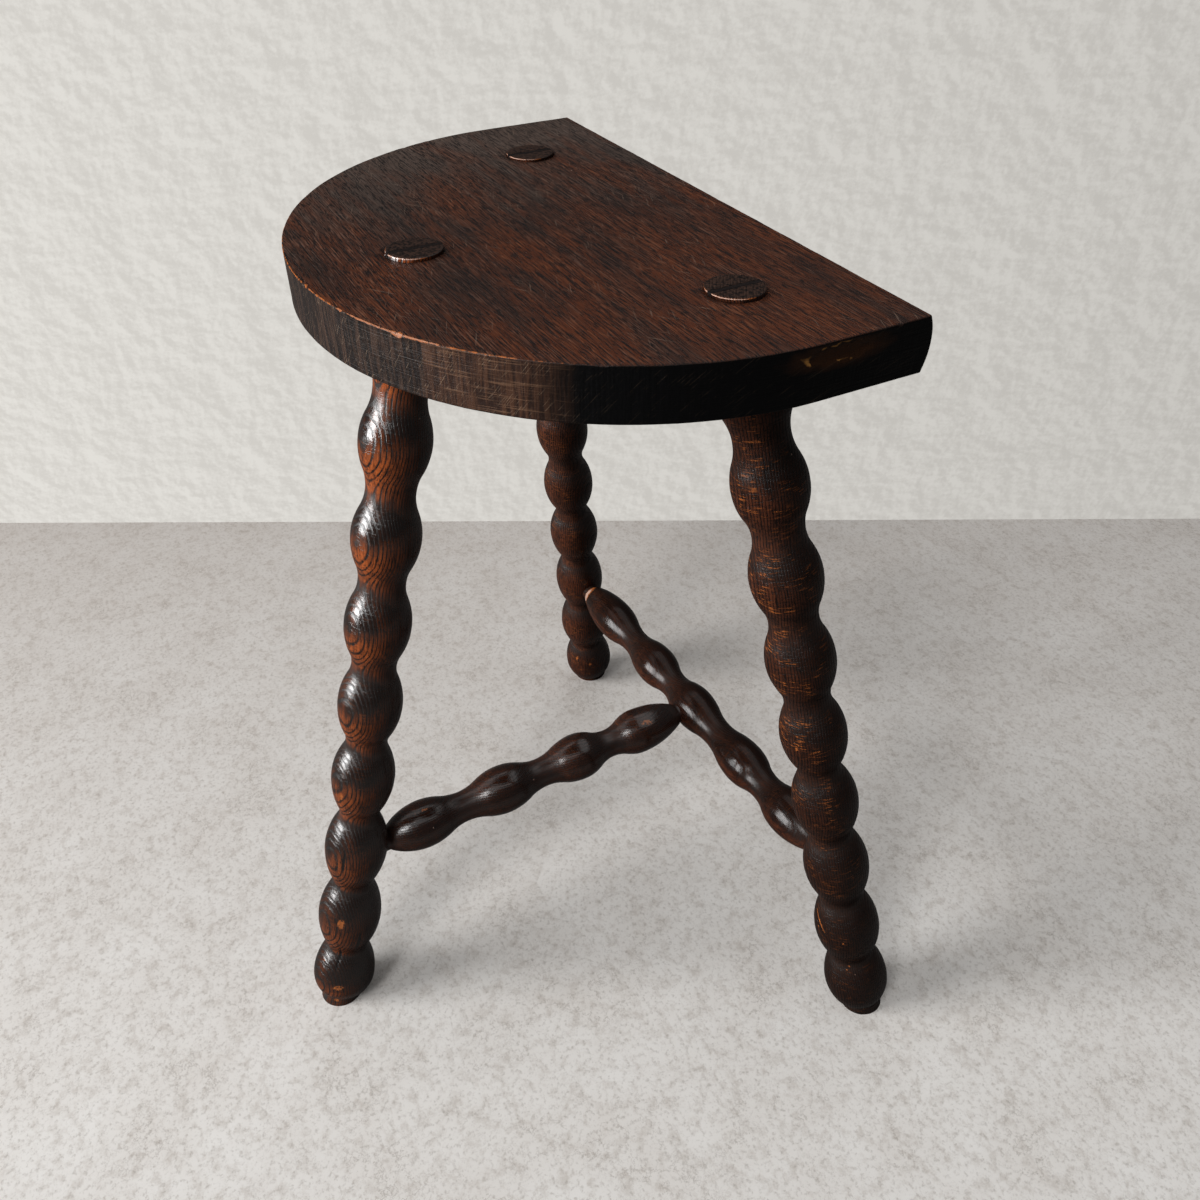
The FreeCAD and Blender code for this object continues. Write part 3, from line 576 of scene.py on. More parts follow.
def wedge_body(leg, sizes, seat):
    """A wedge's faces: level rings of points, crushed a little where it was struck."""
    axis, body, rings = Axis(leg), bmesh.new(), []
    depth = sizes.kerf_depth + TENON_END - seat.height
    for drop, inset in ((0.0, 0.35), (0.1, 0.1), (0.35, 0.0), (depth * 0.4 / MM, 0.0), (depth / MM - 0.3, 0.0)):
        height = TENON_END - WEDGE_DROP - drop * MM
        half = wedge_thickness(sizes, (TENON_END - height) / depth) / 2 - inset * MM * 0.5
        radius = sizes.tenon_radius - inset * MM
        sides = []
        for side in (-1, 1):
            middle, spread = axis.side_angles(radius, side * half)
            start, stop = (axis.slice_point(height, radius, middle + way * spread) for way in (-1, 1))
            row = []
            for i in range(WEDGE_STEPS + 1):
                point = start.lerp(stop, i / WEDGE_STEPS)
                crush = noise.noise(point * 400.0) * 0.08 * MM if drop < 0.3 else 0.0
                row.append(body.verts.new(point - Vector((0, 0, max(0.0, crush)))))
            sides.append(row)
        rings.append(sides[1] + sides[0][::-1])
    bridge(body, rings, smooth=False)
    body.faces.new(rings[0])
    body.faces.new(rings[-1][::-1])
    bmesh.ops.recalc_face_normals(body, faces=body.faces)
    return body


class OBJECT_OT_stool_wedges(bpy.types.Operator):
    """Drive a wedge across the grain of the seat into each sawn tenon"""

    bl_idname = "object.stool_wedges"
    bl_label = "Wedges"

    def execute(self, context):
        material = end_grain_oak()
        for leg in LEGS:
            body = wedge_body(leg, context.scene.stool_turning, context.scene.stool_seat)
            hand_over(link_body(f"driven_wedge_{leg.side}", body, material), f"wedge_{leg.side}")
        return {"FINISHED"}


def rail_marks(rail, span, sizes):
    pitch = (span - (rail.first + rail.last) * MM) / sum(rail.pitches)
    run = bobbin_marks(rail.first * MM, pitch, rail.pitches, rail.crowns, rail.necks, (RAIL_COVE,),
                       sizes.bobbin_radius, sizes.neck_radius)
    radius, _, place = run[-1]
    run[-1] = (radius, 0.0, place)
    tenon, shoulder = sizes.tenon_radius, sizes.shoulder_radius
    start, stop = rail.start_gap * MM, span - rail.end_gap * MM
    return [(tenon, 0.5, RAIL_TENON_START), (tenon, 0.5, start - SHOULDER_STEP), (shoulder, 0.0, start), *run,
            (shoulder, 0.5, stop), (tenon, 0.5, stop + SHOULDER_STEP), (tenon, 0.5, span + rail.reach * MM)]


class OBJECT_OT_stool_stretchers(bpy.types.Operator):
    """Turn the cross stretcher and the medial stretcher that meets it"""

    bl_idname = "object.stool_stretchers"
    bl_label = "Stretchers"

    def execute(self, context):
        sizes, turning = context.scene.stool_rails, context.scene.stool_turning
        start, stop = leg_at("left"), leg_at("right")
        span = (stop - start).length
        crowns = [mark for mark in rail_marks(CROSS, span, sizes) if mark[0] > sizes.bobbin_radius * 0.9]
        tee = start.lerp(stop, crowns[TEE_CROWN_INDEX][2] / span)
        for rail, foot, head in ((CROSS, start, stop), (MEDIAL, leg_at("front"), tee)):
            piece = turned(f"turned_{rail.name}", rail_marks(rail, (head - foot).length, sizes), {
                "Foot": foot, "Head": head, "Level ends": 0.0, "Crown radius": sizes.bobbin_radius,
                "Neck radius": sizes.neck_radius, "Row spacing": turning.row_spacing, "Sides": sizes.sides,
                "Wear": turning.wear, "Seed": float(turning.seed + len(rail.crowns) * 5),
                "Material": turned_oak(f"rubbed oak, {rail.name}", look_of(rail.name)),
            })
            mark_surface(piece.data, MARKS[rail.name])
            hand_over(piece, rail.name)
        return {"FINISHED"}


# The seat

def seat_outline(seat):
    """Points anticlockwise round the seat at its arrises: place, outward direction and pull of the bulge."""
    half, middle = seat.width / 2, seat.back - seat.side_length
    arris = seat.back - seat.bulge
    corner, corner_spacing = 1.0 * MM, 0.3 * MM
    points = []

    def note(place, out):
        points.append((place, out, max(0.0, (place.y - middle) / (arris - middle))))

    def run(start, stop, out):
        count = max(2, round((stop - start).length / seat.spacing))
        for i in range(count):
            note(start.lerp(stop, i / count), out)

    def bend(centre, radius, first, last, spacing):
        count = max(3, round(radius * (last - first) / spacing))
        for i in range(count):
            angle = first + (last - first) * i / count
            out = Vector((math.cos(angle), math.sin(angle)))
            note(centre + out * radius, out)

    run(Vector((half, middle)), Vector((half, arris - corner)), Vector((1, 0)))
    bend(Vector((half - corner, arris - corner)), corner, 0.0, math.pi / 2, corner_spacing)
    run(Vector((half - corner, arris)), Vector((corner - half, arris)), Vector((0, 1)))
    bend(Vector((corner - half, arris - corner)), corner, math.pi / 2, math.pi, corner_spacing)
    run(Vector((-half, arris - corner)), Vector((-half, middle)), Vector((-1, 0)))
    bend(Vector((0, middle)), half, math.pi, math.tau, seat.spacing)
    return points


# Small bites out of the top arris: place, half length and depth in millimetres.
CHIPS = ((12.9, -86.2, 2.0, 0.9), (71.3, -68.9, 2.6, 1.3), (41.5, -81.0, 1.4, 0.6), (-140.5, 10.0, 1.8, 0.7),
         (128.0, -15.0, 2.4, 0.5), (151.0, 96.0, 2.0, 0.8), (-146.0, 26.0, 1.3, 0.5))
# Wear of the top arris, highest where it faces the windows and so partly a painted highlight, and darkness of the
# sawn edge, by degrees round the half circle.
ARRIS_WEAR_AND_HIGHLIGHT = ((180, 0.3), (240, 0.32), (252, 0.68), (276, 0.62), (288, 0.85), (304, 0.9), (309, 0.6),
              (320, 0.45), (328, 0.2), (360, 0.22))
EDGE_TONE = ((180, 1.0), (205, 0.9), (214, 0.45), (243, 0.4), (248, 0.0), (301.6, 0.0), (302.4, 0.45),
             (317, 0.5), (325, 0.95), (360, 1.0))
# Torn flake on the right side: place along it and height, with half lengths, in millimetres.
FLAKE = (69.0, 454.6, 14.0, 3.6)
FLAKE_ZONE = (0.12, 0.03)
FAR_FROM_FLAKE = 9.0
# Wear of the straight edges' top arris, and darkness of the long edge and of the two short ones.
STRAIGHT_WEAR, LONG_EDGE_TONE, SHORT_EDGE_TONE = 0.22, 0.35, 1.0
# Rings of points round the edge: from the top over its arris, down the sawn edge and round the lower arris.
EDGE_ROWS = ([("top", k / 5) for k in range(5)] + [("wall", k / 23) for k in range(24)]
             + [("low", k / 4) for k in range(1, 5)])
TOP_ROW_WEAR = (0.1, 0.6, 1.0, 1.0, 0.75)
BORE_SIDES = 72
# Gap round a tenon at its mortise's mouth, its swing from side to side and the gap below, in millimetres.
MOUTH_GAP, MOUTH_SWING, MOUTH_TURN, BORE_GAP = 0.28, 0.22, 1.35, 0.1
MOUTH_DEPTH = 4 * MM
# Grid of points that fills the level faces: its corner, its span, and the step between rows as a share.
GRID_CORNER, GRID_SPAN, GRID_ROWS = (-0.16, -0.1), 0.32, 0.87
TOP_PITCH, LOW_PITCH = 3.2 * MM, 9.0 * MM


def chip_depth(place):
    depth = 0.0
    for x, y, half, bite in CHIPS:
        gap = (place - Vector((x * MM, y * MM))).length / (half * MM)
        if gap < 1.0:
            depth = max(depth, bite * MM * (1.0 - gap * gap) ** 0.7)
    return depth


def by_angle(table, turn):
    """Value at an angle, straight from one entry of a table to the next."""
    for (first, low), (second, high) in zip(table, table[1:]):
        if first <= turn <= second:
            return low + (high - low) * (turn - first) / (second - first)
    return table[-1][1]


def flake_reach(place, height):
    """How far inside the torn flake a point of the sawn edge lies: 1 is its ragged border."""
    y, z, half, tall = (value * MM for value in FLAKE)
    if place.x < FLAKE_ZONE[0] or place.y < FLAKE_ZONE[1]:
        return FAR_FROM_FLAKE
    ragged = 0.35 * noise.noise(Vector((place.y * 230, height * 420, 5.0)))
    return math.hypot((place.y - y) / half, (height - z) / tall) + ragged


def edge_rings(body, seat):
    """Points round the sawn edge and both arrises, with their wear noted on them."""
    wall, worn, tone, torn = (body.verts.layers.float.new(name) for name in ("wall", "worn", "tone", "torn"))
    top, low, middle = seat.height, seat.height - seat.thickness, seat.back - seat.side_length
    bow = (seat.thickness / 2) ** 2 / (2 * seat.bulge) + seat.bulge / 2
    outline, rings = seat_outline(seat), []
    for part, share in EDGE_ROWS:
        ring = []
        angle = share * math.pi / 2
        for place, out, pull in outline:
            grain = noise.noise(Vector((place.x * 70, place.y * 70, 3.0)))
            fine = noise.noise(Vector((place.x * 420, place.y * 420, 9.0)))
            arris = seat.arris * (1.0 + 0.45 * grain + 0.25 * fine)
            arris_top, arris_low = arris + chip_depth(place), arris * 0.8
            turn = math.degrees(math.atan2(place.y - middle, place.x)) % 360
            on_curve = place.y < middle
            flake, wear = FAR_FROM_FLAKE, 0.0
            if part == "top":
                height = top - arris_top * (1 - math.cos(angle))
                inset = arris_top * (1 - math.sin(angle)) + 0.12 * MM * max(0.0, fine) * math.sin(angle)
                wear = TOP_ROW_WEAR[round(share * 5)]
            elif part == "low":
                inset, height = arris_low * (1 - math.cos(angle)), low + arris_low * (1 - math.sin(angle))
            else:
                height = (top - arris_top) + ((low + arris_low) - (top - arris_top)) * share
                inset = 0.0
                if 0 < share < 1:
                    saw = noise.noise(Vector((place.x * 300, place.y * 300, height * 50)))
                    wave = noise.noise(Vector((place.x * 40, place.y * 40, height * 60)))
                    flake = flake_reach(place, height)
                    inset = (0.10 + 0.14 * saw + 0.16 * wave + 0.9 * clamp((1.0 - flake) * 5.0)) * MM
                inset = max(0.0, inset) + 0.12 * MM * max(0.0, fine) * (1 - share)
                wear = 0.4 if share == 0 else 0.0
            off = height - (top + low) / 2
            lift = (math.sqrt(max(0.0, bow * bow - off * off)) - (bow - seat.bulge)) * pull
            vert = body.verts.new((place.x - out.x * inset, place.y - out.y * inset + lift, height))
            vert[wall] = {"top": share, "wall": 1.0, "low": 1.0 - share}[part]
            # Arris wear by angle: wear, and a painted highlight where the arris faces the windows.
            vert[worn] = (by_angle(ARRIS_WEAR_AND_HIGHLIGHT, turn) if on_curve else STRAIGHT_WEAR) * wear
            vert[torn] = 2.0 - min(2.0, flake)
            straight_tone = LONG_EDGE_TONE if abs(out.y) > 0.5 else SHORT_EDGE_TONE
            vert[tone] = by_angle(EDGE_TONE, turn) if on_curve else straight_tone
            ring.append(vert)
        rings.append(ring)
    return rings


def bore_rings(body, axes, seat, radius):
    """Rings of points down the raked mortises, at the top, just under it and at the underside."""
    rings = []
    for height in (seat.height, seat.height - MOUTH_DEPTH, seat.height - seat.thickness):
        rings.append([])
        for axis in axes:
            ring = []
            for i in range(BORE_SIDES):
                angle = math.tau * i / BORE_SIDES
                gap = MOUTH_GAP + MOUTH_SWING * math.cos(angle - MOUTH_TURN) if height == seat.height else BORE_GAP
                ring.append(body.verts.new(axis.slice_point(height, radius + gap * MM, angle)))
            rings[-1].append(ring)
    return rings


def cover(body, seat, ring, holes, centres, bore, pitch, up):
    """Triangles across the top or the underside, clear of the mortises. The top is sat hollow."""
    height = seat.height if up else seat.height - seat.thickness
    middle, radius = seat.back - seat.side_length, seat.width / 2
    arris_room = 1.2 * MM

    def edge_gap(place):
        """Distance inside the outline."""
        if place.y > middle:
            return min(radius - abs(place.x), seat.back - seat.bulge - place.y)
        return radius - (place - Vector((0, middle))).length

    coords, edges, verts = [], [], []
    for loop in (ring, *holes):
        first, count = len(coords), len(loop)
        coords += [vert.co.xy for vert in loop]
        edges += [(first + i, first + (i + 1) % count) for i in range(count)]
        verts += loop
    left, front = GRID_CORNER
    for i in range(int(GRID_SPAN / pitch)):
        for j in range(int(GRID_SPAN / pitch)):
            place = Vector((left + (i + 0.5 * (j % 2)) * pitch, front + j * pitch * GRID_ROWS))
            if edge_gap(place) > 0.7 * pitch + arris_room and all(
                    (place - centre).length > bore * 1.06 + 0.5 * pitch for centre in centres):
                coords.append(place)
    found, _, faces, origins, _, _ = delaunay_2d_cdt(coords, edges, [], 1, 1e-7)
    made = []
    for place, source in zip(found, origins):
        if source and source[0] < len(verts):
            made.append(verts[source[0]])
            continue
        lift = 0.02 * MM
        if up:
            hollow = noise.fractal(Vector((place.x * 14, place.y * 30, 1.7)), 1.0, 2.0, 3)
            lift = -clamp(0.12 + 0.16 * hollow, 0.0, 0.35) * MM * min(1.0, edge_gap(place) / (12 * MM))
        made.append(body.verts.new((place.x, place.y, height + lift)))
    for face in faces:
        heart = sum((found[i] for i in face), Vector((0, 0))) / len(face)
        if any((heart - centre).length < bore * 0.9 for centre in centres):
            continue
        loop = [made[i] for i in face]
        if up != ((loop[1].co - loop[0].co).cross(loop[2].co - loop[0].co).z > 0):
            loop.reverse()
        body.faces.new(loop).smooth = True


class OBJECT_OT_stool_seat(bpy.types.Operator):
    """Saw the half-moon seat, bore its raked mortises and wear its top and arrises"""

    bl_idname = "object.stool_seat"
    bl_label = "Seat"

    def execute(self, context):
        seat, bore = context.scene.stool_seat, context.scene.stool_turning.tenon_radius
        axes = [Axis(leg) for leg in LEGS]
        body = bmesh.new()
        rings = edge_rings(body, seat)
        bridge(body, rings)
        bores = bore_rings(body, axes, seat, bore)
        for above, below in zip(bores, bores[1:]):
            for upper, lower in zip(above, below):
                for i in range(BORE_SIDES):
                    j = (i + 1) % BORE_SIDES
                    body.faces.new((upper[i], upper[j], lower[j], lower[i])).smooth = True
        for ring, holes, pitch, up in (
            (rings[0], bores[0], TOP_PITCH, True), (rings[-1], bores[-1], LOW_PITCH, False),
        ):
            height = seat.height if up else seat.height - seat.thickness
            cover(body, seat, ring, holes, [axis.at(height).xy for axis in axes], bore, pitch, up)
        hand_over(link_body("plank_seat", body, seat_oak()), "seat")
        return {"FINISHED"}


# Finishes

# Shades of the seat's top, of its sawn edge from brown to black, and of the scratches and splinters on it.
RIM, FIBRE_COOL, FIBRE_WARM, SCRATCHED = (linear(code) for code in ("53443c", "6e5f57", "7f4d33", "8f7868"))
RASPED, SAW_BAND, SAWN_BROWN, RASPED_BROWN, LEVEL_LINE, SOOT = (
    linear(code) for code in ("48352b", "0f0c0b", "30201a", "55392a", "80604a", "070708"))
EDGE_SCRATCH, TORN_WOOD, SPLINTER = (linear(code) for code in ("a08770", "452a19", "b98345"))
# Shades of the floor and the plaster, of what they send back to the stool, and of the even light. The far floor's
# tint is painted shade near the far ground, and the plaster's hollow tint is the painted shade of its relief.
CLOUD, SMUDGE, CRACK, GRIT, FLOOR_SHADE_NEAR_WALL, PLASTER_RELIEF_SHADE, DIM, SKY = (linear(code) for code in (
    "c4b8ad", "a09284", "877b70", "9d948b", "9a8d83", "8f8880", "6c6a68", "f2f4f6"))


def new_material(name):
    material = bpy.data.materials.new(name)
    material.use_nodes = True
    material.node_tree.nodes.clear()
    return material, partial(add, material.node_tree)


def noted(put, *names):
    """Measures noted on the points of a mesh."""
    return (put("ShaderNodeAttribute", attribute_name=name).outputs["Fac"] for name in names)


def grain(put, place, stretch, detail, roughness):
    """Noise with so many cells per metre along each axis."""
    return put(NOISE, put(MULTIPLY_V, place, stretch), 1.0, detail, roughness)


def drifted(put, place, stretch, reach):
    """A place that wanders by up to half a reach either way, as the grain does."""
    wander = put(SUBTRACT_V, grain(put, place, stretch, 2.0, 0.5).outputs["Color"], (0.5, 0.5, 0.5))
    return put(ADD_V, place, put(MULTIPLY_V, wander, reach))


def slanted(put, place, *ways):
    """Coordinates along slanting ways, in cells per metre, for scratches."""
    return put(JOIN, *(put(DOT_V, place, way).outputs["Value"] for way in ways))


def coated(put, base, *coats):
    """A colour with others laid over it, each by its share."""
    for share, tint in coats:
        base = put(TINT, share, base, tint)
    return base


def specks(put, place, spacing, radius):
    """Round specks of a radius, in about half of the cells of a spacing, both in metres."""
    cells = put("ShaderNodeTexVoronoi", place, 1.0 / spacing)
    spot = put(RANGE, cells.outputs["Distance"], 0.6 * radius / spacing, radius / spacing, 1.0, 0.0)
    kept = put(GREATER_THAN, put("ShaderNodeSeparateColor", cells.outputs["Color"]).outputs["Red"], 0.5)
    return put(MULTIPLY, put(MULTIPLY, spot, kept), 0.7)


def wood_surface(put, base, rough, shine, relief, strength, depth):
    """Close the nodes of a wood with its colour, roughness, shine and relief."""
    bump = put("ShaderNodeBump", {"Strength": strength, "Distance": depth, "Height": relief})
    put("ShaderNodeOutputMaterial", put("ShaderNodeBsdfPrincipled", {
        "Base Color": base, "Roughness": rough, "Normal": bump, "Specular IOR Level": shine}))


# Look of a turning: tint of the worn stain, degrees from the axis to the bark side, slope of the grain, warmth
# at the foot, under the seat and on faces turned up (the last sets painted shade), strength of ring lines and
# tool lines, relief, roughness of the wax and its shine.
Look = namedtuple("Look", "warm pith slope low_warmth top_warmth upper rings tooling relief gloss shine")
RING_SPACING = 1.35 * MM
PITH_GAP = 0.08


def turned_oak(name, look):
    """Oak turned from the quartered log, stained dark and waxed for centuries.

    The eye sees growth rings as dark pore lines under 2 mm apart, straight along the flanks and nested
    in loops where a bobbin cuts across them, fine tool lines round the work, orange wood where the
    stain is rubbed off and where the lower flanks face the daylight, painted shade on the upper flanks
    and on the side away from the daylight, dull dust in the necks and a wax shine broken up by the open
    pores.
    """
    finish = bpy.context.scene.stool_finish
    material, put = new_material(name)
    stock = put("ShaderNodeAttribute", attribute_name="stock").outputs["Vector"]
    hollow, mark, cut = noted(put, "hollow", "mark", "cut")
    along = put(SPLIT, stock).outputs["Z"]

    # Growth rings round a pith 80 mm from the axis, wandering by a few millimetres. The grain slopes a
    # little, so the loops sit off the crowns.
    sheared = put(JOIN, *(
        put(MULTIPLY_ADD, along, look.slope * part, PITH_GAP * part) for part in compass(look.pith).xy))
    wandering = drifted(put, stock, (38.0, 38.0, 24.0), (0.004, 0.004, 0.0))
    flat = put(MULTIPLY_V, put(ADD_V, wandering, sheared), (1.0, 1.0, 0.0))
    ring = put(MULTIPLY, put(LENGTH_V, flat).outputs["Value"], 1 / RING_SPACING)
    line = put(RANGE, put(PINGPONG, ring, 0.5), 0.08, 0.23, 1.0, 0.0)
    # Pores about 0.5 mm wide and 5 mm long.
    pores = grain(put, stock, (1500.0, 1500.0, 170.0), 1.0, 0.5)
    dash = put(RANGE, pores, 0.55, 0.63, 0.0, 1.0)
    line = put(MULTIPLY, line, put(RANGE, pores, 0.36, 0.5, 0.6 * look.rings, look.rings))
    # Tool lines run round the work every millimetre or so, as grooves and here and there as ridges.
    tool = grain(put, stock, (170.0, 170.0, 1250.0), 1.0, 0.5)
    groove = put(RANGE, tool, 0.57, 0.64, 0.0, 0.4 + 0.6 * look.tooling)
    cloud = grain(put, stock, (75.0, 75.0, 42.0), 3.0, 0.6)
    wax = put(NOISE, stock, 700.0, 2.0, 0.6)
    patch = put(NOISE, stock, 90.0, 2.0, 0.5)
    ridge = put(MULTIPLY, put(RANGE, tool, 0.42, 0.36, 0.0, look.tooling), put(RANGE, patch, 0.46, 0.6, 0.0, 1.0))
    ridge = put(MULTIPLY, ridge, put(RANGE, along, 0.1, 0.26, 0.25 + look.low_warmth, 1.0))

    # Painted shade: the upper flanks of the bobbins and the side turned away from the daylight are painted dark,
    # and the lower flanks on the daylight side are painted warm.
    facing = put(SPLIT, put("ShaderNodeNewGeometry").outputs["Normal"]).outputs
    rubbed = put(ADD, put(RANGE, cloud, 0.38, 0.62, -0.25, 0.25),
                 put(RANGE, facing["Z"], 0.32, 0.05, look.upper, 0.95))
    # Painted shade: the warmth fades on the side turned away from the daylight.
    rubbed = put(MULTIPLY, rubbed, put(RANGE, facing["Y"], -0.7, 0.3, 1.0, 0.12), use_clamp=True)
    warmth = put(MULTIPLY, rubbed, put(RANGE, along, 0.06, 0.42, look.low_warmth, look.top_warmth))
    # The summer wood takes the stain unevenly, in streaks about 2 mm wide and 40 mm long.
    streak = grain(put, stock, (480.0, 480.0, 22.0), 2.0, 0.6)
    warmth = put(MULTIPLY, warmth, put(RANGE, streak, 0.36, 0.62, 0.5, 1.1))
    # Orange flecks where tool ridges are rubbed bare, painted stronger on the side facing the daylight: wear and a
    # painted highlight.
    fleck = put(MULTIPLY, put(MULTIPLY, ridge, put(RANGE, wax, 0.42, 0.55, 0.2, 1.0)),
                put(RANGE, facing["Y"], -0.5, 0.5, 0.9, 0.1))
    # Marks of use; on the tenons' rims the mark is bare wood painted on the lit side, partly a painted highlight.
    ragged = put(MULTIPLY, mark, put(RANGE, wax, 0.3, 0.7, 0.3, 1.5))
    rubbed_tint = put(TINT, put(RANGE, mark, 1.1, 1.5, 0.0, 1.0), finish.rubbed, finish.bare)
    end = put(TINT, put(RANGE, wax, 0.42, 0.62, 0.0, 1.0), finish.end_grain, finish.pore)
    base = coated(
        put, finish.leg_dark, (warmth, look.warm), (line, finish.pore), (put(MULTIPLY, dash, 0.7), finish.pore),
        (put(MULTIPLY, groove, 0.55), finish.pore), (fleck, finish.rubbed),
        (put(MULTIPLY, put(MULTIPLY, hollow, hollow), 0.1), finish.dust),
        (put(RANGE, ragged, 0.45, 0.8, 0.0, 0.9), rubbed_tint), (put(RANGE, mark, -0.2, -0.6, 0.0, 1.0), finish.pore),
        (specks(put, stock, 14 * MM, 0.5 * MM), finish.bare), (cut, end))

    low = put(ADD, put(MULTIPLY, line, 0.7), put(MULTIPLY, dash, 0.15))
    low = put(ADD, low, put(MULTIPLY, groove, 0.45))
    relief = put(SUBTRACT, put(MULTIPLY, wax, 0.2), low)
    rough = put(ADD, put(RANGE, hollow, 0.0, 1.0, look.gloss, look.gloss + 0.14), put(MULTIPLY, low, 0.25))
    # Wax lies on the upper flanks and is thin below them.
    waxed = put(RANGE, facing["Z"], -0.02, 0.24, 0.4 * look.shine, look.shine)
    wood_surface(put, base, put(MIX, cut, rough, 0.55), put(MIX, cut, waxed, 0.15), relief, look.relief, 0.2 * MM)
    return material


def look_of(piece):
    finish = bpy.context.scene.stool_finish
    return {
        "left": Look(finish.rail_warm, 210, 0.05, 0.7, 0.9, 0.0, 0.9, 0.5, 0.7, 0.24, 0.45),
        "right": Look(finish.rail_warm, 235, 0.04, 0.0, 0.6, 0.0, 0.9, 0.9, 0.8, 0.24, 0.3),
        "front": Look(finish.leg_warm, 283, 0.0, 0.45, 0.95, 0.0, 1.0, 0.2, 0.6, 0.14, 1.0),
        "cross_stretcher": Look(finish.rail_warm, 250, 0.03, 0.5, 0.5, 0.1, 0.5, 0.1, 0.2, 0.11, 0.28),
        "medial_stretcher": Look(finish.rail_warm, 250, 0.03, 1.1, 1.1, 0.45, 0.6, 0.15, 0.25, 0.15, 1.0),
    }[piece]


def end_grain_oak():
    """Oak cut across the grain, black with wax and dirt: dull, speckled with cut pores."""
    finish = bpy.context.scene.stool_finish
    material, put = new_material("dark end grain oak, wedges")
    speckle = put(NOISE, put("ShaderNodeTexCoord").outputs["Object"], 700.0, 2.0, 0.6)
    base = put(TINT, put(RANGE, speckle, 0.42, 0.62, 0.0, 1.0), finish.seat_edge, finish.pore)
    wood_surface(put, base, 0.55, 0.15, speckle, 0.6, 0.15 * MM)
    return material


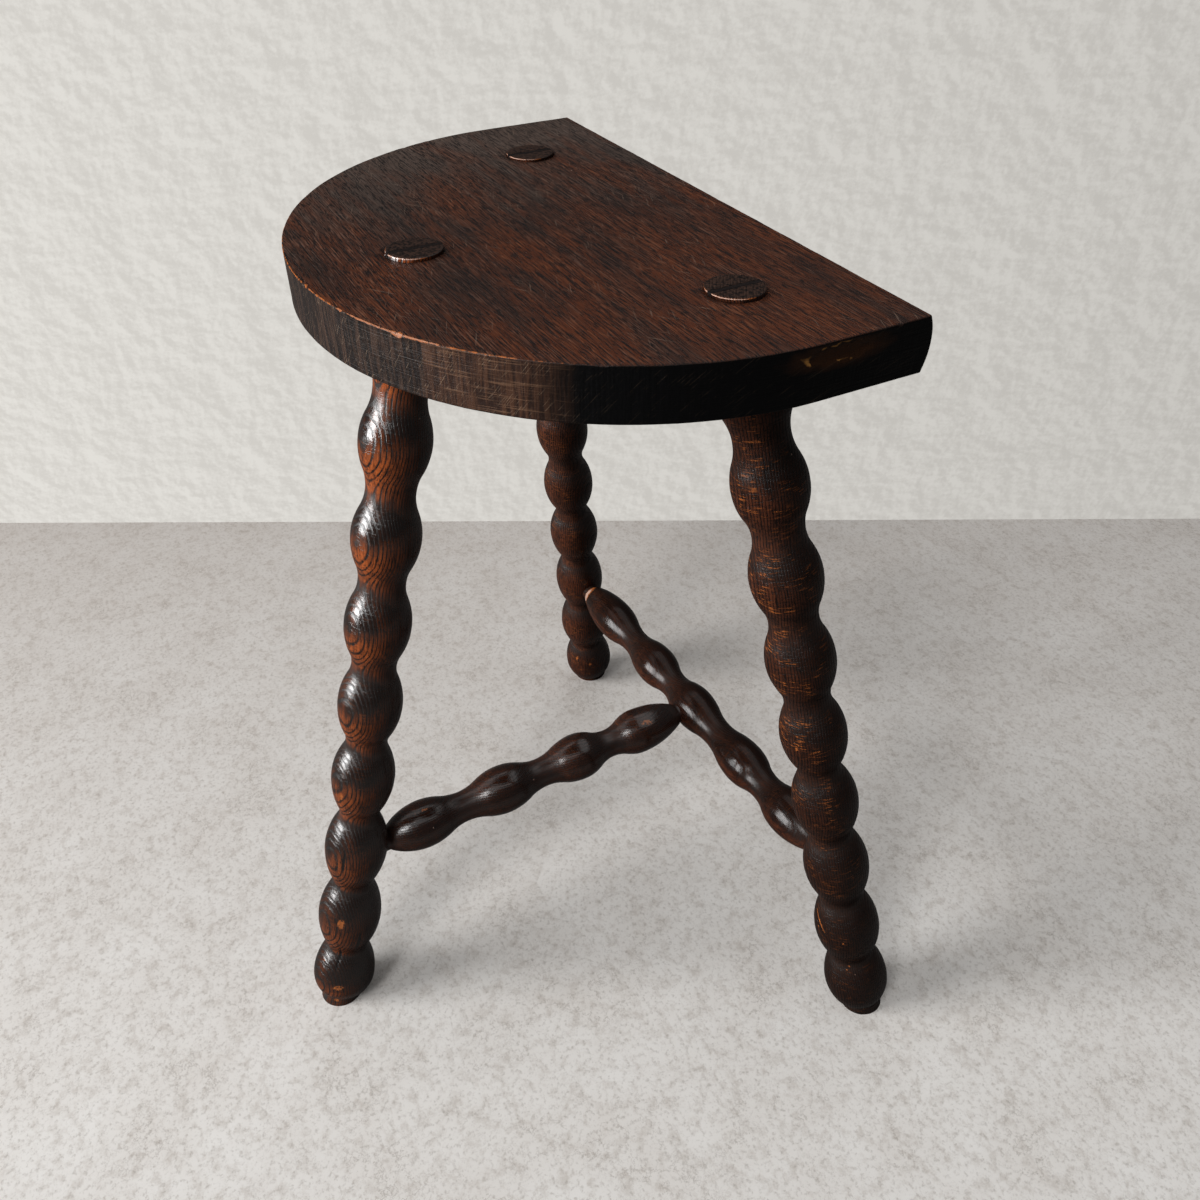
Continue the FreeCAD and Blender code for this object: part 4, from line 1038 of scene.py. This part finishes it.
def seat_oak():
    """Oak plank, sawn through and planed, stained dark and waxed.

    The eye sees short dark pores and paler fibres along the grain, red brown streaks where it is sat
    on, a duller grey brown near the rim, a sawn edge that runs from grey through brown to nearly black
    as it turns into end grain, and a thin worn line on the arris, painted palest where it faces the
    windows as a painted highlight.
    """
    finish = bpy.context.scene.stool_finish
    material, put = new_material("waxed oak plank, seat")
    place = put("ShaderNodeTexCoord").outputs["Object"]
    wall, worn, tone, torn = noted(put, "wall", "worn", "tone", "torn")

    # The grain runs along the straight edge and wanders a millimetre or two to either side. Pores are about
    # 0.5 mm wide and 6 mm long, fibres 0.6 by 16 mm, streaks 9 by 75 mm.
    board = drifted(put, place, (6.0, 11.0, 11.0), (0.0, 0.008, 0.008))
    pores = grain(put, board, (160.0, 1700.0, 1700.0), 1.0, 0.5)
    fibre = grain(put, board, (60.0, 1750.0, 1750.0), 2.0, 0.6)
    streak = grain(put, board, (13.0, 110.0, 110.0), 4.0, 0.65)
    cloud = grain(put, place, (14.0, 22.0, 22.0), 3.0, 0.6)

    along = put(SPLIT, place).outputs["X"]
    warmth = put(ADD, put(RANGE, along, -0.13, 0.03, 0.08, 0.75), put(RANGE, cloud, 0.35, 0.65, -0.32, 0.3))
    warmth = put(ADD, warmth, put(RANGE, streak, 0.4, 0.6, -0.28, 0.26), use_clamp=True)
    fleck = put(MULTIPLY, put(RANGE, fibre, 0.57, 0.62, 0.0, 1.0), put(RANGE, cloud, 0.4, 0.6, 0.3, 0.75))
    black = put(RANGE, fibre, 0.45, 0.39, 0.0, 0.85)
    pore = put(RANGE, pores, 0.56, 0.62, 0.0, 0.85)
    top = coated(
        put, finish.seat_dark, (put(RANGE, along, 0.0, -0.12, 0.0, 1.0), RIM), (warmth, finish.seat_warm),
        (fleck, put(TINT, warmth, FIBRE_COOL, FIBRE_WARM)), (black, finish.pore), (pore, finish.pore),
        (specks(put, place, 20 * MM, 0.45 * MM), finish.bare))
    # Faint scratches about 25 mm long cross the grain two ways, here and there.
    used = put(RANGE, put(NOISE, place, 26.0, 1.0, 0.5), 0.47, 0.6, 0.0, 0.42)
    for ways in (((34.0, 26.0, 0.0), (-760.0, 1000.0, 0.0)), ((40.0, -16.0, 0.0), (420.0, 1050.0, 0.0))):
        nick = put(RANGE, put(NOISE, slanted(put, place, *ways), 1.0, 2.0, 0.6), 0.64, 0.7, 0.0, 1.0)
        top = put(TINT, put(MULTIPLY, nick, used), top, SCRATCHED)

    # The sawn edge: upright rasp marks, level lines and pale scratches that slant.
    rasp = grain(put, place, (800.0, 800.0, 60.0), 2.0, 0.6)
    level = grain(put, place, (50.0, 50.0, 1500.0), 2.0, 0.6)
    band = grain(put, place, (150.0, 150.0, 15.0), 2.0, 0.6)
    slant = put(NOISE, slanted(put, place, (60.0, 15.0, 90.0), (-2000.0, -500.0, 1300.0)), 1.0, 2.0, 0.7)
    scratch = put(MULTIPLY, put(RANGE, slant, 0.62, 0.7, 0.0, 1.0), put(RANGE, tone, 0.5, 0.95, 0.5, 0.08))
    grey = coated(put, finish.seat_edge, (put(RANGE, rasp, 0.46, 0.62, 0.0, 0.9), RASPED),
                  (put(RANGE, band, 0.45, 0.6, 0.0, 0.55), SAW_BAND))
    brown = coated(put, SAWN_BROWN, (put(RANGE, rasp, 0.42, 0.6, 0.0, 0.8), RASPED_BROWN),
                   (put(RANGE, level, 0.56, 0.66, 0.0, 0.55), LEVEL_LINE))
    side = coated(put, grey, (put(RANGE, tone, 0.2, 0.5, 0.0, 1.0), brown),
                  (put(RANGE, tone, 0.5, 0.95, 0.0, 1.0), SOOT), (scratch, EDGE_SCRATCH),
                  (put(RANGE, torn, 0.1, 1.0, 0.0, 0.5), TORN_WOOD))

    # Wood shows along the worn arris, painted palest where it faces the windows as a painted highlight, and pale
    # splinters stand along the ragged border of the torn flake.
    grit = put(NOISE, place, 420.0, 2.0, 0.6)
    arris_wear_and_highlight = put(RANGE, put(MULTIPLY, worn, put(RANGE, grit, 0.3, 0.7, 0.2, 1.7)), 0.38, 0.65, 0.0, 1.0)
    arris = put(TINT, put(RANGE, worn, 0.75, 1.05, 0.0, 1.0), finish.rubbed, finish.bare)
    border = put(MULTIPLY, put(RANGE, torn, 0.82, 0.97, 0.0, 1.0), put(RANGE, torn, 1.03, 1.18, 1.0, 0.0))
    border = put(MULTIPLY, border, put(RANGE, put(NOISE, place, 190.0, 1.0, 0.5), 0.52, 0.58, 0.0, 0.9))
    base = coated(put, top, (wall, side), (arris_wear_and_highlight, arris), (border, SPLINTER))

    top_relief = put(MULTIPLY, put(ADD, black, pore), -0.6)
    hack = grain(put, place, (330.0, 330.0, 330.0), 3.0, 0.7)
    side_relief = put(MULTIPLY, put(ADD, put(ADD, rasp, level), hack), 1.15)
    shine = put(MIX, wall, 0.28, put(RANGE, tone, 0.5, 0.95, 0.26, 0.15))
    wood_surface(put, base, put(RANGE, fibre, 0.35, 0.65, 0.5, 0.34), shine,
                 put(MIX, wall, top_relief, side_relief), 0.8, 0.25 * MM)
    return material


# Stage

CAMERA_PLACE = Vector((0.41794, -0.17003, 0.62463))
CAMERA_HEADING, CAMERA_TILT, CAMERA_ROLL = math.radians(62.111), math.radians(39.254), math.radians(0.201)
CAMERA_FOCAL = 1050.0
IMAGE_WIDTH = 1200.0
SENSOR_WIDTH = 36.0
# Where the ground turns paler, by distance from the camera, and how far the ground runs.
FAR_LINE, FAR_END, GROUND_REACH = 0.894, 9.0, 6.0
SKY_SEEN, FLOOR_GLOW = 0.6, 0.03


class OBJECT_OT_stool_stage(bpy.types.Operator):
    """Lay the pale floor and set the daylight, the fill and the camera"""

    bl_idname = "object.stool_stage"
    bl_label = "Stage"

    def execute(self, context):
        stage = context.scene.stool_stage
        heading = Vector((-math.sin(CAMERA_HEADING), math.cos(CAMERA_HEADING), 0.0))
        right = Vector((math.cos(CAMERA_HEADING), math.sin(CAMERA_HEADING), 0.0))
        base = Vector((CAMERA_PLACE.x, CAMERA_PLACE.y, 0.0))
        for name, near, far, material in (
            ("floor", -GROUND_REACH, FAR_LINE, cast_floor(stage.floor, base, heading, right)),
            ("far_ground", FAR_LINE, FAR_END, limewash(stage.wall, base, heading, right)),
        ):
            mesh = bpy.data.meshes.new(name)
            corners = ((near, GROUND_REACH), (far, GROUND_REACH), (far, -GROUND_REACH), (near, -GROUND_REACH))
            mesh.from_pydata([base + heading * a + right * b for a, b in corners], [], [(0, 1, 2, 3)])
            mesh.materials.append(material)
            link(name, mesh)

        world = bpy.data.worlds.new("even light")
        world.use_nodes = True
        world.node_tree.nodes.clear()
        put = partial(add, world.node_tree)
        strength = put(MIX, put("ShaderNodeLightPath").outputs["Is Camera Ray"], stage.fill, SKY_SEEN)
        put("ShaderNodeOutputWorld", put("ShaderNodeBackground", SKY, strength))
        context.scene.world = world
        for name, place, target, width, height, watts in (
            ("daylight", (-1.08, -4.37, 1.6), (0.0, 0.0, 0.25), 2.2, 2.6, stage.daylight),
            ("second_window", (1.25, -2.0, 2.5), (0.0, 0.0, 0.25), 0.8, 1.1, stage.second),
            ("ceiling", (-0.1, 0.1, 2.4), (0.0, 0.1, 0.0), 3.4, 3.4, stage.ceiling),
        ):
            data = bpy.data.lights.new(name, "AREA")
            data.shape, data.size, data.size_y, data.energy = "RECTANGLE", width, height, watts
            lamp = link(name, data)
            lamp.location = place
            lamp.rotation_euler = (Vector(target) - Vector(place)).to_track_quat("-Z", "Y").to_euler()
            lamp.visible_camera = False

        lens = bpy.data.cameras.new("camera")
        lens.sensor_width = SENSOR_WIDTH
        lens.lens = CAMERA_FOCAL / IMAGE_WIDTH * SENSOR_WIDTH
        camera = link("camera", lens)
        look = heading * math.cos(CAMERA_TILT) - Vector((0, 0, math.sin(CAMERA_TILT)))
        turn = look.to_track_quat("-Z", "Y") @ Quaternion((0.0, 0.0, 1.0), -CAMERA_ROLL)
        camera.rotation_euler = turn.to_euler()
        camera.location = CAMERA_PLACE
        context.scene.camera = camera
        context.scene.view_settings.view_transform = "Standard"
        return {"FINISHED"}


def cast_floor(tint, base, heading, right):
    """Cast screed: pale and matt, clouded in patches of a few centimetres, with fine grit, and painted shade that
    darkens it towards the far ground, most at the left.

    The camera sees it pale, while the stool gets less light back from it, as in a dim room.
    """
    material, put = new_material("cast floor with painted shade")
    place = put("ShaderNodeTexCoord").outputs["Object"]
    cloud = put(NOISE, place, 16.0, 6.0, 0.65)
    grit = put(NOISE, place, 330.0, 3.0, 0.7)
    smudge = put(NOISE, place, 105.0, 6.0, 0.75)
    vein = put(ABSOLUTE, put(SUBTRACT, put(NOISE, place, 34.0, 6.0, 0.7), 0.5))
    crack = put(MULTIPLY, put(RANGE, vein, 0.0, 0.012, 0.45, 0.0), put(RANGE, cloud, 0.48, 0.6, 0.0, 1.0))
    # Painted shade: darker towards the far ground, more so at the left, as though a wall shaded it.
    off = put(SUBTRACT_V, place, base)
    away = put(RANGE, put(DOT_V, off, heading).outputs["Value"], 0.3, FAR_LINE, 0.0, 1.0)
    across = put(RANGE, put(DOT_V, off, right).outputs["Value"], -0.5, 0.5, 0.45, 0.3)
    shade = coated(
        put, tint, (put(RANGE, cloud, 0.35, 0.7, 0.0, 0.26), CLOUD),
        (put(RANGE, smudge, 0.49, 0.65, 0.0, 0.36), SMUDGE), (crack, CRACK),
        (put(RANGE, grit, 0.52, 0.68, 0.0, 0.42), GRIT), (put(MULTIPLY, away, across), FLOOR_SHADE_NEAR_WALL))
    seen = put("ShaderNodeLightPath").outputs["Is Camera Ray"]
    glow = put("ShaderNodeEmission", shade, put(MULTIPLY, seen, FLOOR_GLOW))
    matt = put("ShaderNodeBsdfDiffuse", put(TINT, seen, DIM, shade))
    put("ShaderNodeOutputMaterial", put("ShaderNodeAddShader", matt, glow))
    return material


def limewash(tint, base, heading, right):
    """Rough plaster, drawn on the far ground in the perspective of an upright wall at its near edge. It glows for the
    camera, its relief is painted light and shade, and it is painted darker towards the right.
    """
    material, put = new_material("limewashed plaster with painted light")
    place = put(SUBTRACT_V, put("ShaderNodeTexCoord").outputs["Object"], base)
    away, across = (put(DOT_V, place, way).outputs["Value"] for way in (heading, right))
    near = put(DIVIDE, FAR_LINE, away)
    height = put(SUBTRACT, CAMERA_PLACE.z, put(MULTIPLY, near, CAMERA_PLACE.z))
    wall = put(JOIN, put(MULTIPLY, across, near), height, 0.0)
    # Painted light and shade of the relief: the difference of the noise at two points offset towards the light.
    coarse, fine = (
        put(SUBTRACT, *(put(NOISE, put(ADD_V, wall, (shift, shift * 0.8, 0.0)), scale, 5.0, 0.68)
                        for shift in (-reach, reach)))
        for scale, reach in ((26.0, 0.0025), (70.0, 0.0012)))
    slope = put(ADD, coarse, put(MULTIPLY, fine, 0.6))
    shade = put(TINT, put(RANGE, slope, -0.1, 0.1, -0.09, 0.13), tint, PLASTER_RELIEF_SHADE, clamp_factor=False)
    # Painted shade: the glow falls off towards the right, away from the daylight.
    side = put(RANGE, put(SPLIT, wall).outputs["X"], -0.55, 0.55, 1.0, 0.76)
    glow = put("ShaderNodeEmission", shade, side)
    seen = put("ShaderNodeLightPath").outputs["Is Camera Ray"]
    put("ShaderNodeOutputMaterial", put("ShaderNodeMixShader", seen, put("ShaderNodeBsdfDiffuse", DIM), glow))
    return material


STEPS = (OBJECT_OT_stool_seat, OBJECT_OT_stool_legs, OBJECT_OT_stool_wedges, OBJECT_OT_stool_stretchers,
         OBJECT_OT_stool_stage)
GROUPS = {"stool_seat": StoolSeat, "stool_turning": StoolTurning, "stool_rails": StoolRails,
          "stool_finish": StoolFinish, "stool_stage": StoolStage}


class VIEW3D_PT_stool(bpy.types.Panel):
    """Lists the stool's pieces and their sizes"""

    bl_label = "Bobbin stool"
    bl_space_type = "VIEW_3D"
    bl_region_type = "UI"
    bl_category = "Bobbin stool"

    def draw(self, context):
        for step in STEPS:
            self.layout.operator(step.bl_idname)
        for name, group in GROUPS.items():
            box = self.layout.box()
            for key in group.__annotations__:
                box.prop(getattr(context.scene, name), key)


def register():
    for name, group in GROUPS.items():
        bpy.utils.register_class(group)
        setattr(bpy.types.Scene, name, PointerProperty(type=group))
    for shown in (*STEPS, VIEW3D_PT_stool):
        bpy.utils.register_class(shown)


def unregister():
    for shown in (VIEW3D_PT_stool, *reversed(STEPS)):
        bpy.utils.unregister_class(shown)
    for name, group in GROUPS.items():
        delattr(bpy.types.Scene, name)
        bpy.utils.unregister_class(group)


def main():
    register()
    bpy.ops.object.stool_seat()
    bpy.ops.object.stool_legs()
    bpy.ops.object.stool_wedges()
    bpy.ops.object.stool_stretchers()
    bpy.ops.object.stool_stage()


if __name__ == "__main__":
    main()
